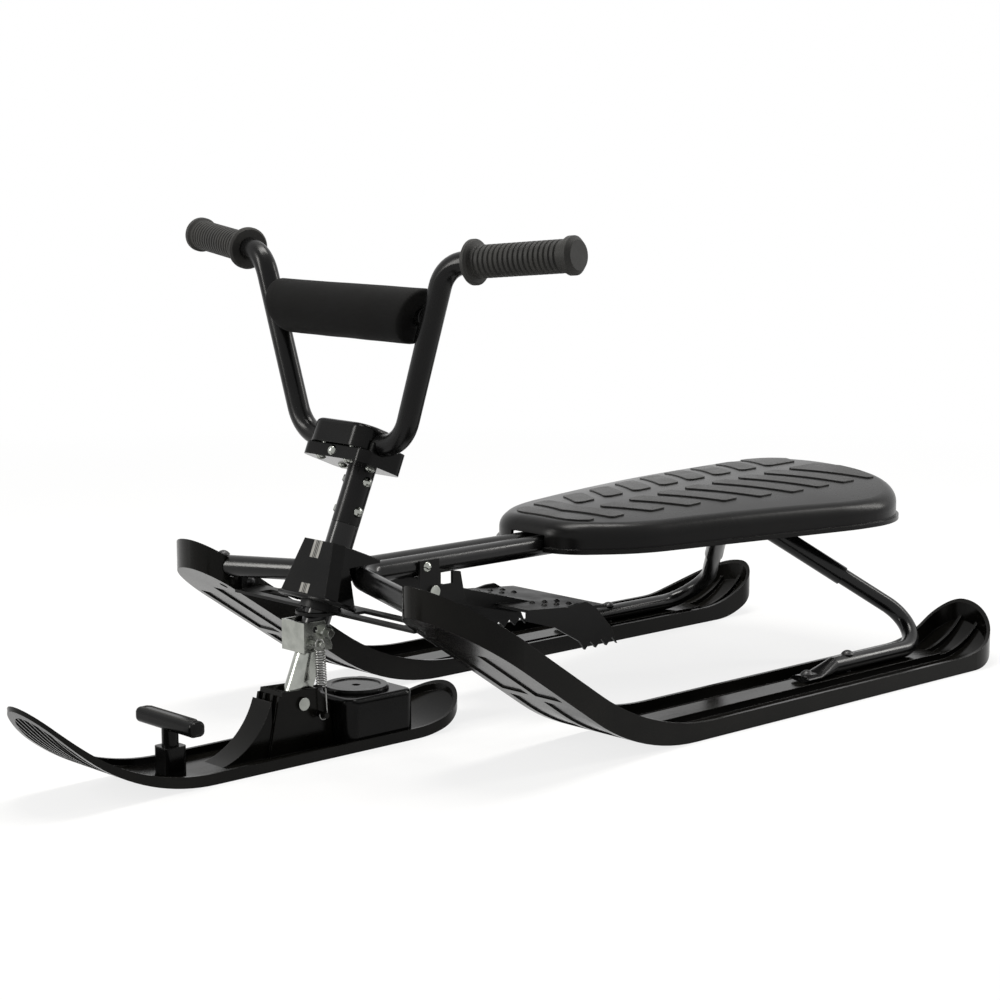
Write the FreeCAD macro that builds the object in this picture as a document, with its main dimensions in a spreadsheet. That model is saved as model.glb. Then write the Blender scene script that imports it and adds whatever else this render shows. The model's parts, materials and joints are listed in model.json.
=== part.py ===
import FreeCAD, Part
import math
import os
import re

import Sketcher
from FreeCAD import Placement, Rotation, Vector

# Steering sled: two rear skis under a tube frame with a seat, and a steered front ski.
# +X points forward, +Y to the rider's left, +Z up; the origin is on the ground under the middle.

doc = FreeCAD.newDocument("SteeringSled")
sheet = doc.addObject("Spreadsheet::Sheet", "Sizes")

# Driving dimensions in millimetres and degrees; ratios are multiples of a shank's radius.
sizes = {
    # clearances and fastener proportions
    "fit_gap": 0.1, "running_gap": 0.06, "safe_gap": 0.3,
    "head_ratio": 1.8, "head_rise_ratio": 1.1, "nut_ratio": 3.2, "nut_rise_ratio": 1.5, "pin_head_ratio": 1.6,
    "pin_head": 3, "pin_tip": 2,
    # steering axis: it meets the ground at axis_foot_x and leans back; heights run along the axis
    "steering_tilt": 22.7, "axis_foot_x": 295,
    "stem_dia": 28, "stem_wall": 2, "stem_low": 118, "stem_seam": 236, "column_top": 303,
    "post_low": 226, "post_high": 308, "post_wall": 2,
    "column_bolt_low": 250, "column_bolt_high": 281, "column_bolt_dia": 6, "column_bolt_reach": 19,
    "head_low": 158, "head_high": 207, "head_dia": 40, "head_wall": 2.5,
    "bush_length": 16, "bush_flange": 2.5, "bush_flange_dia": 40,
    # head cover
    "cover_wall": 2.5, "cover_top_half": 31, "cover_low_half": 44, "cover_front": 26,
    "cover_back": 42, "cover_top_back": 30, "cover_low": 154, "cover_chamfer": 9, "cover_stem_gap": 1,
    "cover_side_low_z": 181, "cover_side_x": 228,
    # fork under the stem
    "fork_front_x": 271, "fork_depth": 35, "fork_wall": 3, "fork_top_z": 130, "fork_low_z": 100,
    "fork_slope_run": 9, "fork_slope_drop": 26, "fork_bolt_s": 128, "fork_bolt_dia": 8, "fork_bolt_reach": 28,
    "fork_hole_dia": 6, "fork_hole_x": 257, "fork_hole_z": 122,
    "strut_radius": 11, "strut_wall": 2.2, "strut_back": 12, "strut_low": 43,
    "pivot_s": 55.3, "pivot_dia": 8,
    # handlebar: a bent tube in a plane across the sled
    "bar_dia": 22, "bar_wall": 1.6, "bar_x": 194, "bar_low_z": 300, "bar_low_half": 75,
    "bar_high_z": 479, "bar_high_half": 139, "bar_low_bend": 40, "bar_high_bend": 35,
    "grip_sweep": 10.8, "grip_rise": 5, "grip_start": 31, "grip_length": 120, "grip_dia": 31,
    "grip_flange_dia": 43, "grip_flange": 7, "grip_flange_bevel": 2, "grip_end_dia": 36, "grip_end": 9,
    "grip_end_bevel": 4, "grip_flare": 2, "grip_cap": 4, "grip_ribs": 17, "grip_margin": 4,
    "grip_groove": 1.4, "grip_groove_flank": 0.9, "grip_groove_flat": 1.1,
    "crossbar_z": 428, "crossbar_dia": 16, "crossbar_wall": 1.5,
    "pad_dia": 55, "pad_length": 206, "pad_round": 5, "pad_slit": 3,
    # handlebar clamp
    "clamp_low": 293, "clamp_back": 36, "clamp_front": 21, "clamp_half_y": 48, "clamp_corner": 12,
    "cap_half_x": 25, "cap_half_y": 44, "cap_height": 15, "cap_corner": 21, "cap_round": 5, "clamp_split": 1,
    "cap_skirt": 9, "cap_skirt_start": 13,
    "clamp_bolt_dia": 6, "clamp_bolt_drop": 16, "clamp_bolt_length": 18,
    "clamp_screw_y": 21, "clamp_screw_gap": 1, "clamp_screw_rise": 9,
    # frame tubes
    "rail_dia": 22, "rail_wall": 1.5, "rail_y": 13, "rail_z": 168, "rail_front_x": 202.5,
    "rail_rear_x": -372, "rail_front_bend": 32, "rail_rear_bend": 60,
    "nose_end_x": 243, "nose_end_y": 165, "nose_end_z": 160, "nose_end_gap": 4, "nose_bolt_inset": 12,
    "leg_y": 184, "leg_heel_x": -528, "leg_bend": 40, "leg_join_ratio": 0.5, "leg_insert": 38,
    "leg_toe_x": -330, "leg_flat_x": -298, "leg_end_x": -276, "leg_flat_width": 25, "leg_flat_height": 7,
    "leg_wall": 1.5,
    "gusset_back_x": 138, "gusset_slope_x": 188, "gusset_back_rise": 14, "gusset_thick": 3.4,
    "gusset_top_z": 180, "gusset_low_z": 160,
    # cross member between the ski noses
    "strap_top_z": 137, "strap_plate": 3, "strap_x": 218, "strap_width": 36, "strap_hub_dia": 46,
    "strap_collar": 6, "strap_stem_gap": 2.5, "strap_slot_width": 16, "strap_slot_start": 36,
    "strap_slot_end": 114, "strap_tab_height": 15.5, "strap_tab_width": 22, "strap_bolt_dia": 6,
    "strap_bolt_rise": 6.2, "strap_bolt_reach": 8,
    # rear skis
    "ski_y": 193, "ski_width": 106, "ski_floor": 5, "ski_wall": 4, "ski_side": 18,
    "ski_tip_x": 268, "ski_nose_x": -43, "ski_nose_radius": 250, "ski_nose_angle": 34,
    "rim_nose_x": -76, "rim_nose_radius": 300, "ski_tail_x": -584, "ski_heel_x": -505, "ski_tail_radius": 105,
    "rim_heel_x": -480, "rim_tail_radius": 147, "ski_inner_corner": 32,
    "ski_rib_width": 30, "ski_rib_height": 8, "ski_rib_front_x": 90, "ski_rib_back_x": -505,
    "tail_rib_width": 4, "tail_rib_height": 6,
    "panel_depth": 2, "panel_margin": 11, "panel_rib": 10, "panel_back_x": 40, "panel_front_x": 228,
    "panel_outer_cut": 18, "panel_cross_x": 128,
    "ski_bolt_dia": 8, "ski_bolt_x": -356, "toe_bolt_x": -287, "ski_bolt_inset": 1, "nose_bolt_drop": 17.5,
    # seat
    "seat_low_z": 163, "seat_top_z": 212, "seat_front_x": -45, "seat_rear_x": -532, "seat_rear_run": 127,
    "seat_nose_half": 50, "seat_wide_half": 161, "seat_nose_round": 58, "seat_shoulder_run": 65,
    "seat_shoulder_half": 100, "seat_shoulder_round": 150,
    "seat_side_round": 250, "seat_rear_round": 100, "seat_crown_y": 640, "seat_crown_x": 9500,
    "seat_peak_x": -600, "seat_wall": 3.5, "seat_edge_round": 17, "seat_lip": 3, "seat_lip_height": 5,
    "seat_notch": 40, "seat_notch_gap": 1.5,
    "boss_dia": 18, "seat_front_mount_x": -120, "seat_rear_mount_x": -318, "seat_front_mount_y": 34,
    "seat_rear_mount_y": 84, "mount_plate": 3, "mount_width": 34, "mount_overhang": 13, "mount_grip": 2,
    "seat_screw_dia": 5, "seat_screw_bite": 11, "seat_screw_hole": 12,
    "tread_height": 1.5, "tread_width": 28, "tread_last_width": 52, "tread_first_x": -132, "tread_rear_gap": 42,
    "tread_count": 8, "tread_inner_y": 14, "tread_first_half": 68, "tread_rear_half": 98, "tread_widen": 0.18,
    "tread_inset": 19, "tread_sweep": 30, "tread_round": 6,
    "tread_front_pitch": 37, "tread_front_sweep": 14, "tread_front_width": 23, "tread_front_count": 2,
    # brake
    "brake_pin_x": 112, "brake_pin_z": 142, "brake_pin_dia": 8, "bracket_plate": 3,
    "bracket_front_x": 130, "bracket_back_x": 104, "bracket_top_z": 175, "bracket_low_z": 129,
    "bracket_lug_x": 69, "bracket_lug_top_x": 75, "bracket_lug_z": 158, "bracket_link_z": 164,
    "window_front_x": 102, "window_back_x": 86, "window_low_z": 147, "window_top_z": 160,
    "bracket_tie": 3, "bracket_screw_dia": 6, "bracket_screw_x": 120, "bracket_screw_bite": 5,
    "brake_half": 72, "brake_plate": 3, "brake_front_x": 24, "brake_front_z": 117,
    "brake_rear_x": -92, "brake_rear_z": 107, "brake_arm_width": 12, "brake_eye_dia": 18,
    "brake_arm_x": -6, "brake_arm_z": 103, "brake_arm_end_x": -36, "brake_arm_end_z": 110,
    "ear_front_x": -50, "ear_back_x": -62, "ear_foot_x": -76, "ear_top_z": 114, "ear_foot_z": 106,
    "flange_mid_z": 112, "flange_shoulder_x": -98, "flange_shoulder_z": 83, "flange_tail_x": -108,
    "flange_root_x": -52, "flange_root_z": 73, "flange_low_x": -16, "flange_low_z": 93, "flange_front_z": 105,
    "brake_tooth": 8, "brake_tooth_count": 3, "brake_tooth_low_z": 63,
    "dimple_dia": 8, "dimple_sink": 2, "dimple_first_x": -56, "dimple_pitch": 18,
    "brake_spring_wire": 2, "brake_spring_turns": 4, "brake_spring_pitch": 2.7,
    "brake_spring_shift": 3.4,
    "brake_leg_down": 15.2, "brake_leg_front": 13, "brake_leg_back": 100,
    # front ski
    "front_half": 47, "front_floor": 4, "front_wall": 4, "front_side": 11, "front_tip_x": 584,
    "front_nose_x": 400, "front_nose_radius": 225, "front_nose_angle": 46, "front_tail_x": 72,
    "front_rim_radius": 238, "front_rim_angle": 45,
    "front_heel_x": 150, "front_tail_radius": 122,
    "tower_gap": 1.5, "tower_wall": 5, "tower_front_x": 311, "tower_top_front_x": 298, "tower_top_z": 66,
    "tower_back_x": 240, "tower_foot_run": 4, "tower_shoulder": 16, "tower_shoulder_drop": 2,
    "tower_back_drop": 20, "tower_rib": 3, "tower_rib_depth": 4, "tower_rib_y": 6,
    "fairing_front_x": 392, "fairing_half": 15, "fairing_mid_x": 337, "fairing_mid_z": 19, "fairing_top_z": 58,
    "stay_dia": 6, "stay_reach": 13, "stay_x": 254, "stay_z": 38, "fork_stay_x": 258, "fork_stay_rise": 9,
    "front_groove_depth": 1.5, "front_groove_back_x": 436, "front_groove_margin": 7, "front_groove_count": 8,
    "front_groove_rib": 2.4,
    # tow reel on the front ski
    "reel_x": 192, "reel_half_x": 43, "reel_half_y": 42, "reel_top_z": 51, "reel_wall": 3,
    "reel_corner": 12, "reel_top_round": 5.5, "reel_mouth_dia": 54, "reel_cap_dia": 66, "reel_cap_depth": 4,
    "reel_cap_bevel": 1.5, "reel_dish_dia": 50, "reel_dish": 1.2, "reel_plug": 2.5,
    "drum_dia": 62, "drum_core_dia": 40, "drum_flange": 2.5, "drum_height": 28, "drum_low_z": 9,
    "reel_axle_dia": 8, "axle_foot": 3, "axle_drop": 0.5, "cord_port_dia": 10, "cord_port_z": 22,
    # tow handle and its holder
    "handle_x": 418, "handle_bar_z": 55, "handle_half": 47, "handle_height": 15, "handle_depth": 17,
    "handle_round": 5.5, "handle_stem_dia": 16, "handle_stem_low_z": 22, "handle_bore_dia": 6,
    "holder_half_x": 12, "holder_half_y": 11.5, "holder_top_z": 32, "holder_round": 5, "holder_floor": 1,
    "cord_guide_dia": 7, "cord_guide_z": 16,
    # ski spring
    "spring_dia": 11, "spring_wire": 1.6, "spring_turns": 14, "spring_pitch": 2.5, "spring_y": 25,
}

for row, (alias, value) in enumerate(sizes.items(), start=1):
    sheet.set(f"A{row}", alias)
    sheet.set(f"B{row}", str(value))
    sheet.setAlias(f"B{row}", alias)
doc.recompute()

# Cutting shapes run past what they cut by a little, or right through the sled.
past = 6.0
far = 2000.0

pieces = []


def size(alias):
    return float(getattr(sheet, alias))


def cells(expression):
    # the expression with each size name pointed at its cell
    return re.sub(r"[A-Za-z_]\w*", lambda m: f"Sizes.{m[0]}" if m[0] in sizes else m[0], expression)


def number(expression):
    return float(sheet.evalExpression(expression))


def keep(piece, label):
    piece.Label = label
    pieces.append(piece)
    return piece


def solid(label, shape, place=None):
    piece = doc.addObject("Part::Feature", label)
    piece.Shape = shape.removeSplitter() if shape.ShapeType == "Solid" else shape
    if place is not None:
        piece.Placement = place
    return keep(piece, label)


def origin_plane(body, role):
    return next(item for item in body.Origin.OriginFeatures if item.Role == role)


def polygon_sketch(body, name, role, corners):
    # closed outline whose corners are bound to the sheet
    sketch = body.newObject("Sketcher::SketchObject", name)
    sketch.AttachmentSupport = [(origin_plane(body, role), "")]
    sketch.MapMode = "FlatFace"
    spots = [Vector(number(x), number(y), 0) for x, y in corners]
    count = len(spots)
    for i in range(count):
        sketch.addGeometry(Part.LineSegment(spots[i], spots[(i + 1) % count]), False)
    for i in range(count):
        sketch.addConstraint(Sketcher.Constraint("Coincident", i, 2, (i + 1) % count, 1))
    for i, (x, y) in enumerate(corners):
        for kind, text, value in (("DistanceX", x, spots[i].x), ("DistanceY", y, spots[i].y)):
            spot = sketch.addConstraint(Sketcher.Constraint(kind, -1, 1, i, 1, value))
            sketch.setExpression(f"Constraints[{spot}]", cells(text))
    return sketch


def turned(label, profile, place=None):
    # a turned piece: its (radius, height) outline revolved about the local Z axis
    body = doc.addObject("PartDesign::Body", label)
    sketch = polygon_sketch(body, f"{label}_profile", "XZ_Plane", profile)
    turn = body.newObject("PartDesign::Revolution", f"{label}_turn")
    turn.Profile = sketch
    turn.ReferenceAxis = (sketch, ["V_Axis"])
    turn.Angle = 360.0
    if place is not None:
        body.Placement = place
    return keep(body, label)


def cross_holes(body, radius, heights):
    # round holes straight through a turned piece, along the local Y axis
    sketch = body.newObject("Sketcher::SketchObject", f"{body.Name}_holes")
    sketch.AttachmentSupport = [(origin_plane(body, "XZ_Plane"), "")]
    sketch.MapMode = "FlatFace"
    for i, height in enumerate(heights):
        sketch.addGeometry(Part.Circle(Vector(0, number(height), 0), Vector(0, 0, 1), number(radius)), False)
        sketch.addConstraint(Sketcher.Constraint("PointOnObject", i, 3, -2))
        spot = sketch.addConstraint(Sketcher.Constraint("DistanceY", -1, 1, i, 3, number(height)))
        sketch.setExpression(f"Constraints[{spot}]", cells(height))
        spot = sketch.addConstraint(Sketcher.Constraint("Radius", i, number(radius)))
        sketch.setExpression(f"Constraints[{spot}]", cells(radius))
    doc.recompute()
    before = body.Shape.Volume
    pocket = body.newObject("PartDesign::Pocket", f"{body.Name}_pocket")
    pocket.Profile = sketch
    pocket.Type = "ThroughAll"
    pocket.Midplane = True
    doc.recompute()
    if body.Shape.Volume >= before:
        raise RuntimeError(f"{body.Label}: the cross holes cut nothing")


def padded(label, corners, role, thickness):
    # a plate padded evenly to both sides of an origin plane
    body = doc.addObject("PartDesign::Body", label)
    sketch = polygon_sketch(body, f"{label}_outline", role, corners)
    pad = body.newObject("PartDesign::Pad", f"{label}_pad")
    pad.Profile = sketch
    pad.setExpression("Length", cells(thickness))
    pad.Midplane = True
    return keep(body, label)


# Shared geometry helpers.

def mirrored(shape):
    return shape.mirror(Vector(0, 0, 0), Vector(0, 1, 0))


def box(x0, x1, y0, y1, z0, z1):
    return Part.makeBox(x1 - x0, y1 - y0, z1 - z0, Vector(x0, y0, z0))


def rod(start, end, radius):
    return Part.makeCylinder(radius, (end - start).Length, start, end - start)


def hole(spot, way, radius):
    # a cutter right through the sled
    return rod(spot - way * far, spot + way * far, radius)


def prism(corners, low, high):
    # a polygon in the XZ plane, extruded across the sled
    spots = [Vector(x, low, z) for x, z in corners]
    return Part.Face(Part.makePolygon(spots + spots[:1])).extrude(Vector(0, high - low, 0))


def fused(shapes):
    return shapes[0].multiFuse(shapes[1:]).removeSplitter()


def upright_edges(shape):
    return [edge for edge in shape.Edges if abs(edge.tangentAt(edge.FirstParameter).z) > 0.9]


def tangent_arc(before, corner, after, radius):
    # first, middle and last point of the arc that rounds a corner
    back = (before - corner).normalize()
    ahead = (after - corner).normalize()
    half = back.getAngle(ahead) / 2
    reach = radius / math.tan(half)
    middle = corner + (back + ahead).normalize() * (radius / math.sin(half) - radius)
    return corner + back * reach, middle, corner + ahead * reach


def rounded_path(points, radii):
    # straight runs joined by tangent arcs; radii has one entry for each inner point
    edges = []
    start = points[0]
    for i, radius in enumerate(radii, start=1):
        first, middle, last = tangent_arc(points[i - 1], points[i], points[i + 1], radius)
        edges.append(Part.LineSegment(start, first).toShape())
        edges.append(Part.Arc(first, middle, last).toShape())
        start = last
    edges.append(Part.LineSegment(start, points[-1]).toShape())
    return Part.Wire(edges)


def rounded_outline(points, radii):
    # closed outline in the XY plane with tangent corner arcs
    count = len(points)
    corners = [tangent_arc(points[i - 1], points[i], points[(i + 1) % count], radius)
               for i, radius in enumerate(radii)]
    edges = []
    for i, (first, middle, last) in enumerate(corners):
        edges.append(Part.Arc(first, middle, last).toShape())
        edges.append(Part.LineSegment(last, corners[(i + 1) % count][0]).toShape())
    return Part.Face(Part.Wire(edges))


def tall(face, low, high):
    lifted = face.copy()
    lifted.translate(Vector(0, 0, low))
    return lifted.extrude(Vector(0, 0, high - low))


def swept(path, radius):
    first = path.OrderedEdges[0]
    start = first.valueAt(first.FirstParameter)
    ahead = first.tangentAt(first.FirstParameter)
    ring = Part.Wire(Part.Circle(start, ahead, radius).toShape())
    return path.makePipeShell([ring], True, False)


def bent_tube(path, radius, wall):
    return swept(path, radius).cut(swept(path, radius - wall))


def bolt(start, end, radius):
    # round-headed bolt from its head seat to its tip
    head_radius = radius * size("head_ratio")
    head_height = radius * size("head_rise_ratio")
    ball = (head_radius ** 2 + head_height ** 2) / (2 * head_height)
    latitude = math.degrees(math.asin((ball - head_height) / ball))
    dome = Part.makeSphere(ball, Vector(0, 0, head_height - ball), Vector(0, 0, 1), latitude, 90, 360)
    length = (end - start).Length
    shank = Part.makeCylinder(radius, length + head_height / 2, Vector(0, 0, -length), Vector(0, 0, 1))
    shape = dome.fuse(shank).removeSplitter()
    shape.Placement = Placement(start, Rotation(Vector(0, 0, -1), end - start))
    return shape


def nut(at, way, radius):
    corner = radius * size("nut_ratio") / math.sqrt(3)
    height = radius * size("nut_rise_ratio")
    turns = [math.radians(60 * i) for i in range(6)]
    corners = [Vector(corner * math.cos(turn), corner * math.sin(turn), 0) for turn in turns]
    shape = tall(Part.Face(Part.makePolygon(corners + corners[:1])), 0, height)
    shape = shape.cut(Part.makeCylinder(radius + size("fit_gap") / 2, height))
    shape.Placement = Placement(at, Rotation(Vector(0, 0, 1), way))
    return shape


tilt = size("steering_tilt")
steering = Placement(Vector(size("axis_foot_x"), 0, 0), Rotation(Vector(0, 1, 0), -tilt))
across = Vector(0, 1, 0)
upward = Vector(0, 0, 1)
# a cross pin's own frame: its length along +Y
sideways = Rotation(upward, across)


def steer(forward, left, along):
    # a point of the steering frame: forward of the axis, to its left and up along it
    return steering.multVec(Vector(forward, left, along))


def steering_rod(low, high, radius):
    return rod(steer(0, 0, low), steer(0, 0, high), radius)


# Steering stem, column and head.

def make_column():
    stem = turned("steering_stem", [
        ("stem_dia / 2 - stem_wall", "stem_low"), ("stem_dia / 2", "stem_low"),
        ("stem_dia / 2", "stem_seam"), ("stem_dia / 2 - stem_wall", "stem_seam")], steering)
    cross_holes(stem, "fork_bolt_dia / 2 + fit_gap", ["fork_bolt_s"])
    bolts = ["column_bolt_low", "column_bolt_high"]
    column = turned("column_tube", [
        ("stem_dia / 2 - stem_wall", "stem_seam + safe_gap"), ("stem_dia / 2", "stem_seam + safe_gap"),
        ("stem_dia / 2", "column_top"), ("stem_dia / 2 - stem_wall", "column_top")], steering)
    cross_holes(column, "column_bolt_dia / 2 + fit_gap", bolts)
    post_outer = "stem_dia / 2 - stem_wall - fit_gap"
    post = turned("column_post", [
        (f"{post_outer} - post_wall", "post_low"), (post_outer, "post_low"),
        (post_outer, "post_high"), (f"{post_outer} - post_wall", "post_high")], steering)
    cross_holes(post, "column_bolt_dia / 2 + fit_gap", bolts)


def make_head():
    turned("head_tube", [
        ("head_dia / 2 - head_wall", "head_low"), ("head_dia / 2", "head_low"),
        ("head_dia / 2", "head_high"), ("head_dia / 2 - head_wall", "head_high")], steering)
    bore = "stem_dia / 2 + running_gap"
    barrel = "head_dia / 2 - head_wall - fit_gap"
    for label, end, sign in (("upper_head_bush", "head_high", "+"), ("lower_head_bush", "head_low", "-")):
        inside = "-" if sign == "+" else "+"
        turned(label, [
            (bore, f"{end} {inside} bush_length"), (barrel, f"{end} {inside} bush_length"),
            (barrel, f"{end} {sign} fit_gap"), ("bush_flange_dia / 2", f"{end} {sign} fit_gap"),
            ("bush_flange_dia / 2", f"{end} {sign} bush_flange"), (bore, f"{end} {sign} bush_flange")], steering)


def make_column_bolts():
    radius = size("column_bolt_dia") / 2
    seat_y = size("stem_dia") / 2 + size("fit_gap")
    bolts = []
    nuts = []
    for along in (size("column_bolt_low"), size("column_bolt_high")):
        bolts.append(bolt(steer(0, seat_y, along), steer(0, -size("column_bolt_reach"), along), radius))
        nuts.append(nut(steer(0, -seat_y, along), -across, radius))
    solid("column_bolts", Part.makeCompound(bolts))
    solid("column_nuts", Part.makeCompound(nuts))


def cover_loft(inset, top, low, back_extra):
    # tapered hood with chamfered front corners, from the low edge to the top
    wires = []
    for along, half, back in ((low, size("cover_low_half"), size("cover_back")),
                              (top, size("cover_top_half"), size("cover_top_back"))):
        y = half - inset
        front = size("cover_front") - inset
        cut = size("cover_chamfer")
        rear = -back - back_extra
        corners = [(rear, -y), (front - cut, -y), (front, cut - y), (front, y - cut), (front - cut, y), (rear, y)]
        spots = [steer(x, side, along) for x, side in corners]
        wires.append(Part.makePolygon(spots + spots[:1]))
    return Part.makeLoft(wires, True, True)


def make_head_cover():
    wall = size("cover_wall")
    top = size("head_high") + size("bush_flange") + size("safe_gap") + wall
    low = size("cover_low")
    shell = cover_loft(0, top, low, 0).cut(cover_loft(wall, top - wall, low - wall, past))
    stem_hole = steering_rod(low, top + past, size("stem_dia") / 2 + size("cover_stem_gap"))
    rail_opening = box(-far, size("cover_side_x"), -far, far, -far, size("cover_side_low_z"))
    solid("head_cover", shell.cut(stem_hole).cut(rail_opening))


# Fork bracket and strut below the stem.

def u_channel(half, depth_back, low, high):
    legs = Part.makeBox(depth_back, 2 * half, high - low, Vector(-depth_back, -half, low))
    legs.Placement = steering.multiply(legs.Placement)
    return steering_rod(low, high, half).fuse(legs)


def fork_stay_z():
    return size("fork_low_z") + size("fork_stay_rise")


def make_fork():
    wall = size("fork_wall")
    inner = size("stem_dia") / 2 + size("safe_gap")
    outer = inner + wall
    front = size("fork_front_x")
    back = front - size("fork_depth")
    low = size("fork_low_z")
    top = size("fork_top_z")
    hollow = box(back - past, front - wall, -inner, inner, low + wall, top + past)
    slope_x = back + size("fork_slope_run")
    slope_z = top - size("fork_slope_drop")
    slope = prism([(slope_x, top), (back, slope_z), (back - past, slope_z), (back - past, top + past),
                   (slope_x, top + past)], -outer - past, outer + past)
    bracket = box(back, front, -outer, outer, low, top).cut(hollow).cut(slope)
    strut_low = size("strut_low")
    strut_high = (low + wall / 2) / math.cos(math.radians(tilt))
    half = size("strut_radius")
    inside = u_channel(half - size("strut_wall"), size("strut_back") + past, strut_low - past, strut_high + past)
    strut = u_channel(half, size("strut_back"), strut_low, strut_high).cut(inside)
    strut = strut.cut(box(-far, far, -far, far, low + wall, far))
    stay_at = Vector(size("fork_stay_x"), outer, fork_stay_z())
    stay = rod(stay_at - across * (wall / 2), stay_at + across * size("stay_reach"), size("stay_dia") / 2)
    shape = fused([bracket, strut, stay])
    for along, radius in ((size("fork_bolt_s"), size("fork_bolt_dia") / 2 + size("fit_gap")),
                          (size("pivot_s"), size("pivot_dia") / 2 + size("running_gap"))):
        shape = shape.cut(hole(steer(0, 0, along), across, radius))
    side_hole = Vector(size("fork_hole_x"), 0, size("fork_hole_z"))
    solid("fork_bracket", shape.cut(hole(side_hole, across, size("fork_hole_dia") / 2)))
    radius = size("fork_bolt_dia") / 2
    seat_y = outer + size("fit_gap")
    along = size("fork_bolt_s")
    solid("fork_bolt", bolt(steer(0, -seat_y, along), steer(0, size("fork_bolt_reach"), along), radius))
    solid("fork_nut", nut(steer(0, seat_y, along), across, radius))


# Handlebar, crossbar, pad, grips and clamp.

def grip_way(side):
    sweep = math.radians(size("grip_sweep"))
    rise = math.radians(size("grip_rise"))
    return Vector(-math.cos(rise) * math.sin(sweep), side * math.cos(rise) * math.cos(sweep), math.sin(rise))


def bar_bend(side):
    return Vector(size("bar_x"), side * size("bar_high_half"), size("bar_high_z"))


def bar_path():
    reach = size("grip_start") + size("grip_length") - size("grip_cap") - size("safe_gap")
    points = [bar_bend(-1) + grip_way(-1) * reach, bar_bend(-1)]
    points += [Vector(size("bar_x"), side * size("bar_low_half"), size("bar_low_z")) for side in (-1, 1)]
    points += [bar_bend(1), bar_bend(1) + grip_way(1) * reach]
    bends = [size("bar_high_bend"), size("bar_low_bend")]
    return rounded_path(points, bends + bends[::-1])


def riser_lean():
    # sideways run of a riser for each millimetre of its height
    return (size("bar_high_half") - size("bar_low_half")) / (size("bar_high_z") - size("bar_low_z"))


def make_handlebar():
    radius = size("bar_dia") / 2
    solid("handlebar", bent_tube(bar_path(), radius, size("bar_wall")))
    centre = Vector(size("bar_x"), 0, size("crossbar_z"))
    reach = across * (size("bar_low_half") + riser_lean() * (size("crossbar_z") - size("bar_low_z")))
    cross = size("crossbar_dia") / 2
    tube = rod(centre - reach, centre + reach, cross)
    tube = tube.cut(rod(centre - reach, centre + reach, cross - size("crossbar_wall")))
    solid("crossbar", tube.cut(swept(bar_path(), radius + size("fit_gap") / 2)))


def make_pad():
    # foam sleeve whose ends lie along the risers, slit underneath
    centre = Vector(size("bar_x"), 0, size("crossbar_z"))
    radius = size("pad_dia") / 2
    end = size("pad_length") / 2
    lean = math.degrees(math.atan(riser_lean()))
    foam = rod(centre - across * (end + radius), centre + across * (end + radius), radius)
    for side, turn in ((1, -lean), (-1, lean + 180)):
        cut = Part.makeBox(4 * radius, 2 * radius, 8 * radius, Vector(-2 * radius, 0, -4 * radius))
        cut.Placement = Placement(centre + across * (side * end), Rotation(Vector(1, 0, 0), turn))
        foam = foam.cut(cut)
    ovals = [edge for edge in foam.Edges if edge.Curve.TypeId == "Part::GeomEllipse"]
    foam = foam.makeFillet(size("pad_round"), ovals)
    bore = hole(centre, across, size("crossbar_dia") / 2 + size("fit_gap"))
    half_slit = size("pad_slit") / 2
    slit = box(centre.x - half_slit, centre.x + half_slit, -far, far, -far, centre.z)
    solid("crossbar_pad", foam.cut(bore).cut(slit))


def make_grips():
    bore = "bar_dia / 2 + fit_gap"
    body = "grip_dia / 2"
    flange = "grip_flange_dia / 2"
    tip = "grip_end_dia / 2"
    profile = [(bore, "0"), (f"{flange} - grip_flange_bevel", "0"), (flange, "grip_flange_bevel"),
               (flange, "grip_flange - grip_flange_bevel"), (f"{flange} - grip_flange_bevel", "grip_flange"),
               (body, "grip_flange + grip_flare / 2")]
    pitch = "((grip_length - grip_flange - grip_end - 2 * grip_margin) / grip_ribs)"
    for i in range(int(size("grip_ribs"))):
        low = f"grip_flange + grip_margin + {pitch} * {i}"
        floor = f"{low} + grip_groove_flank"
        profile += [(body, low), (f"{body} - grip_groove", floor),
                    (f"{body} - grip_groove", f"{floor} + grip_groove_flat"),
                    (body, f"{floor} + grip_groove_flat + grip_groove_flank")]
    profile += [(body, "grip_length - grip_end - grip_flare"), (tip, "grip_length - grip_end"),
                (tip, "grip_length - grip_end_bevel"), (f"{tip} - grip_end_bevel", "grip_length"),
                ("0", "grip_length"), ("0", "grip_length - grip_cap"), (bore, "grip_length - grip_cap")]
    for label, side in (("left_grip", 1), ("right_grip", -1)):
        way = grip_way(side)
        start = bar_bend(side) + way * size("grip_start")
        turned(label, profile, Placement(start, Rotation(upward, way)))


def clamp_bar():
    # centre of the bar's low run, in the steering frame
    return steering.inverse().multVec(Vector(size("bar_x"), 0, size("bar_low_z")))


def clamp_screw_spots():
    # feet of the four screws that draw the cap down, in the steering frame
    radius = size("clamp_bolt_dia") / 2
    reach = size("bar_dia") / 2 + radius + size("clamp_screw_gap")
    low = size("clamp_low") - size("fit_gap")
    return [Vector(clamp_bar().x + dx * reach, side * size("clamp_screw_y"), low)
            for side in (1, -1) for dx in (1, -1)]


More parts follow.
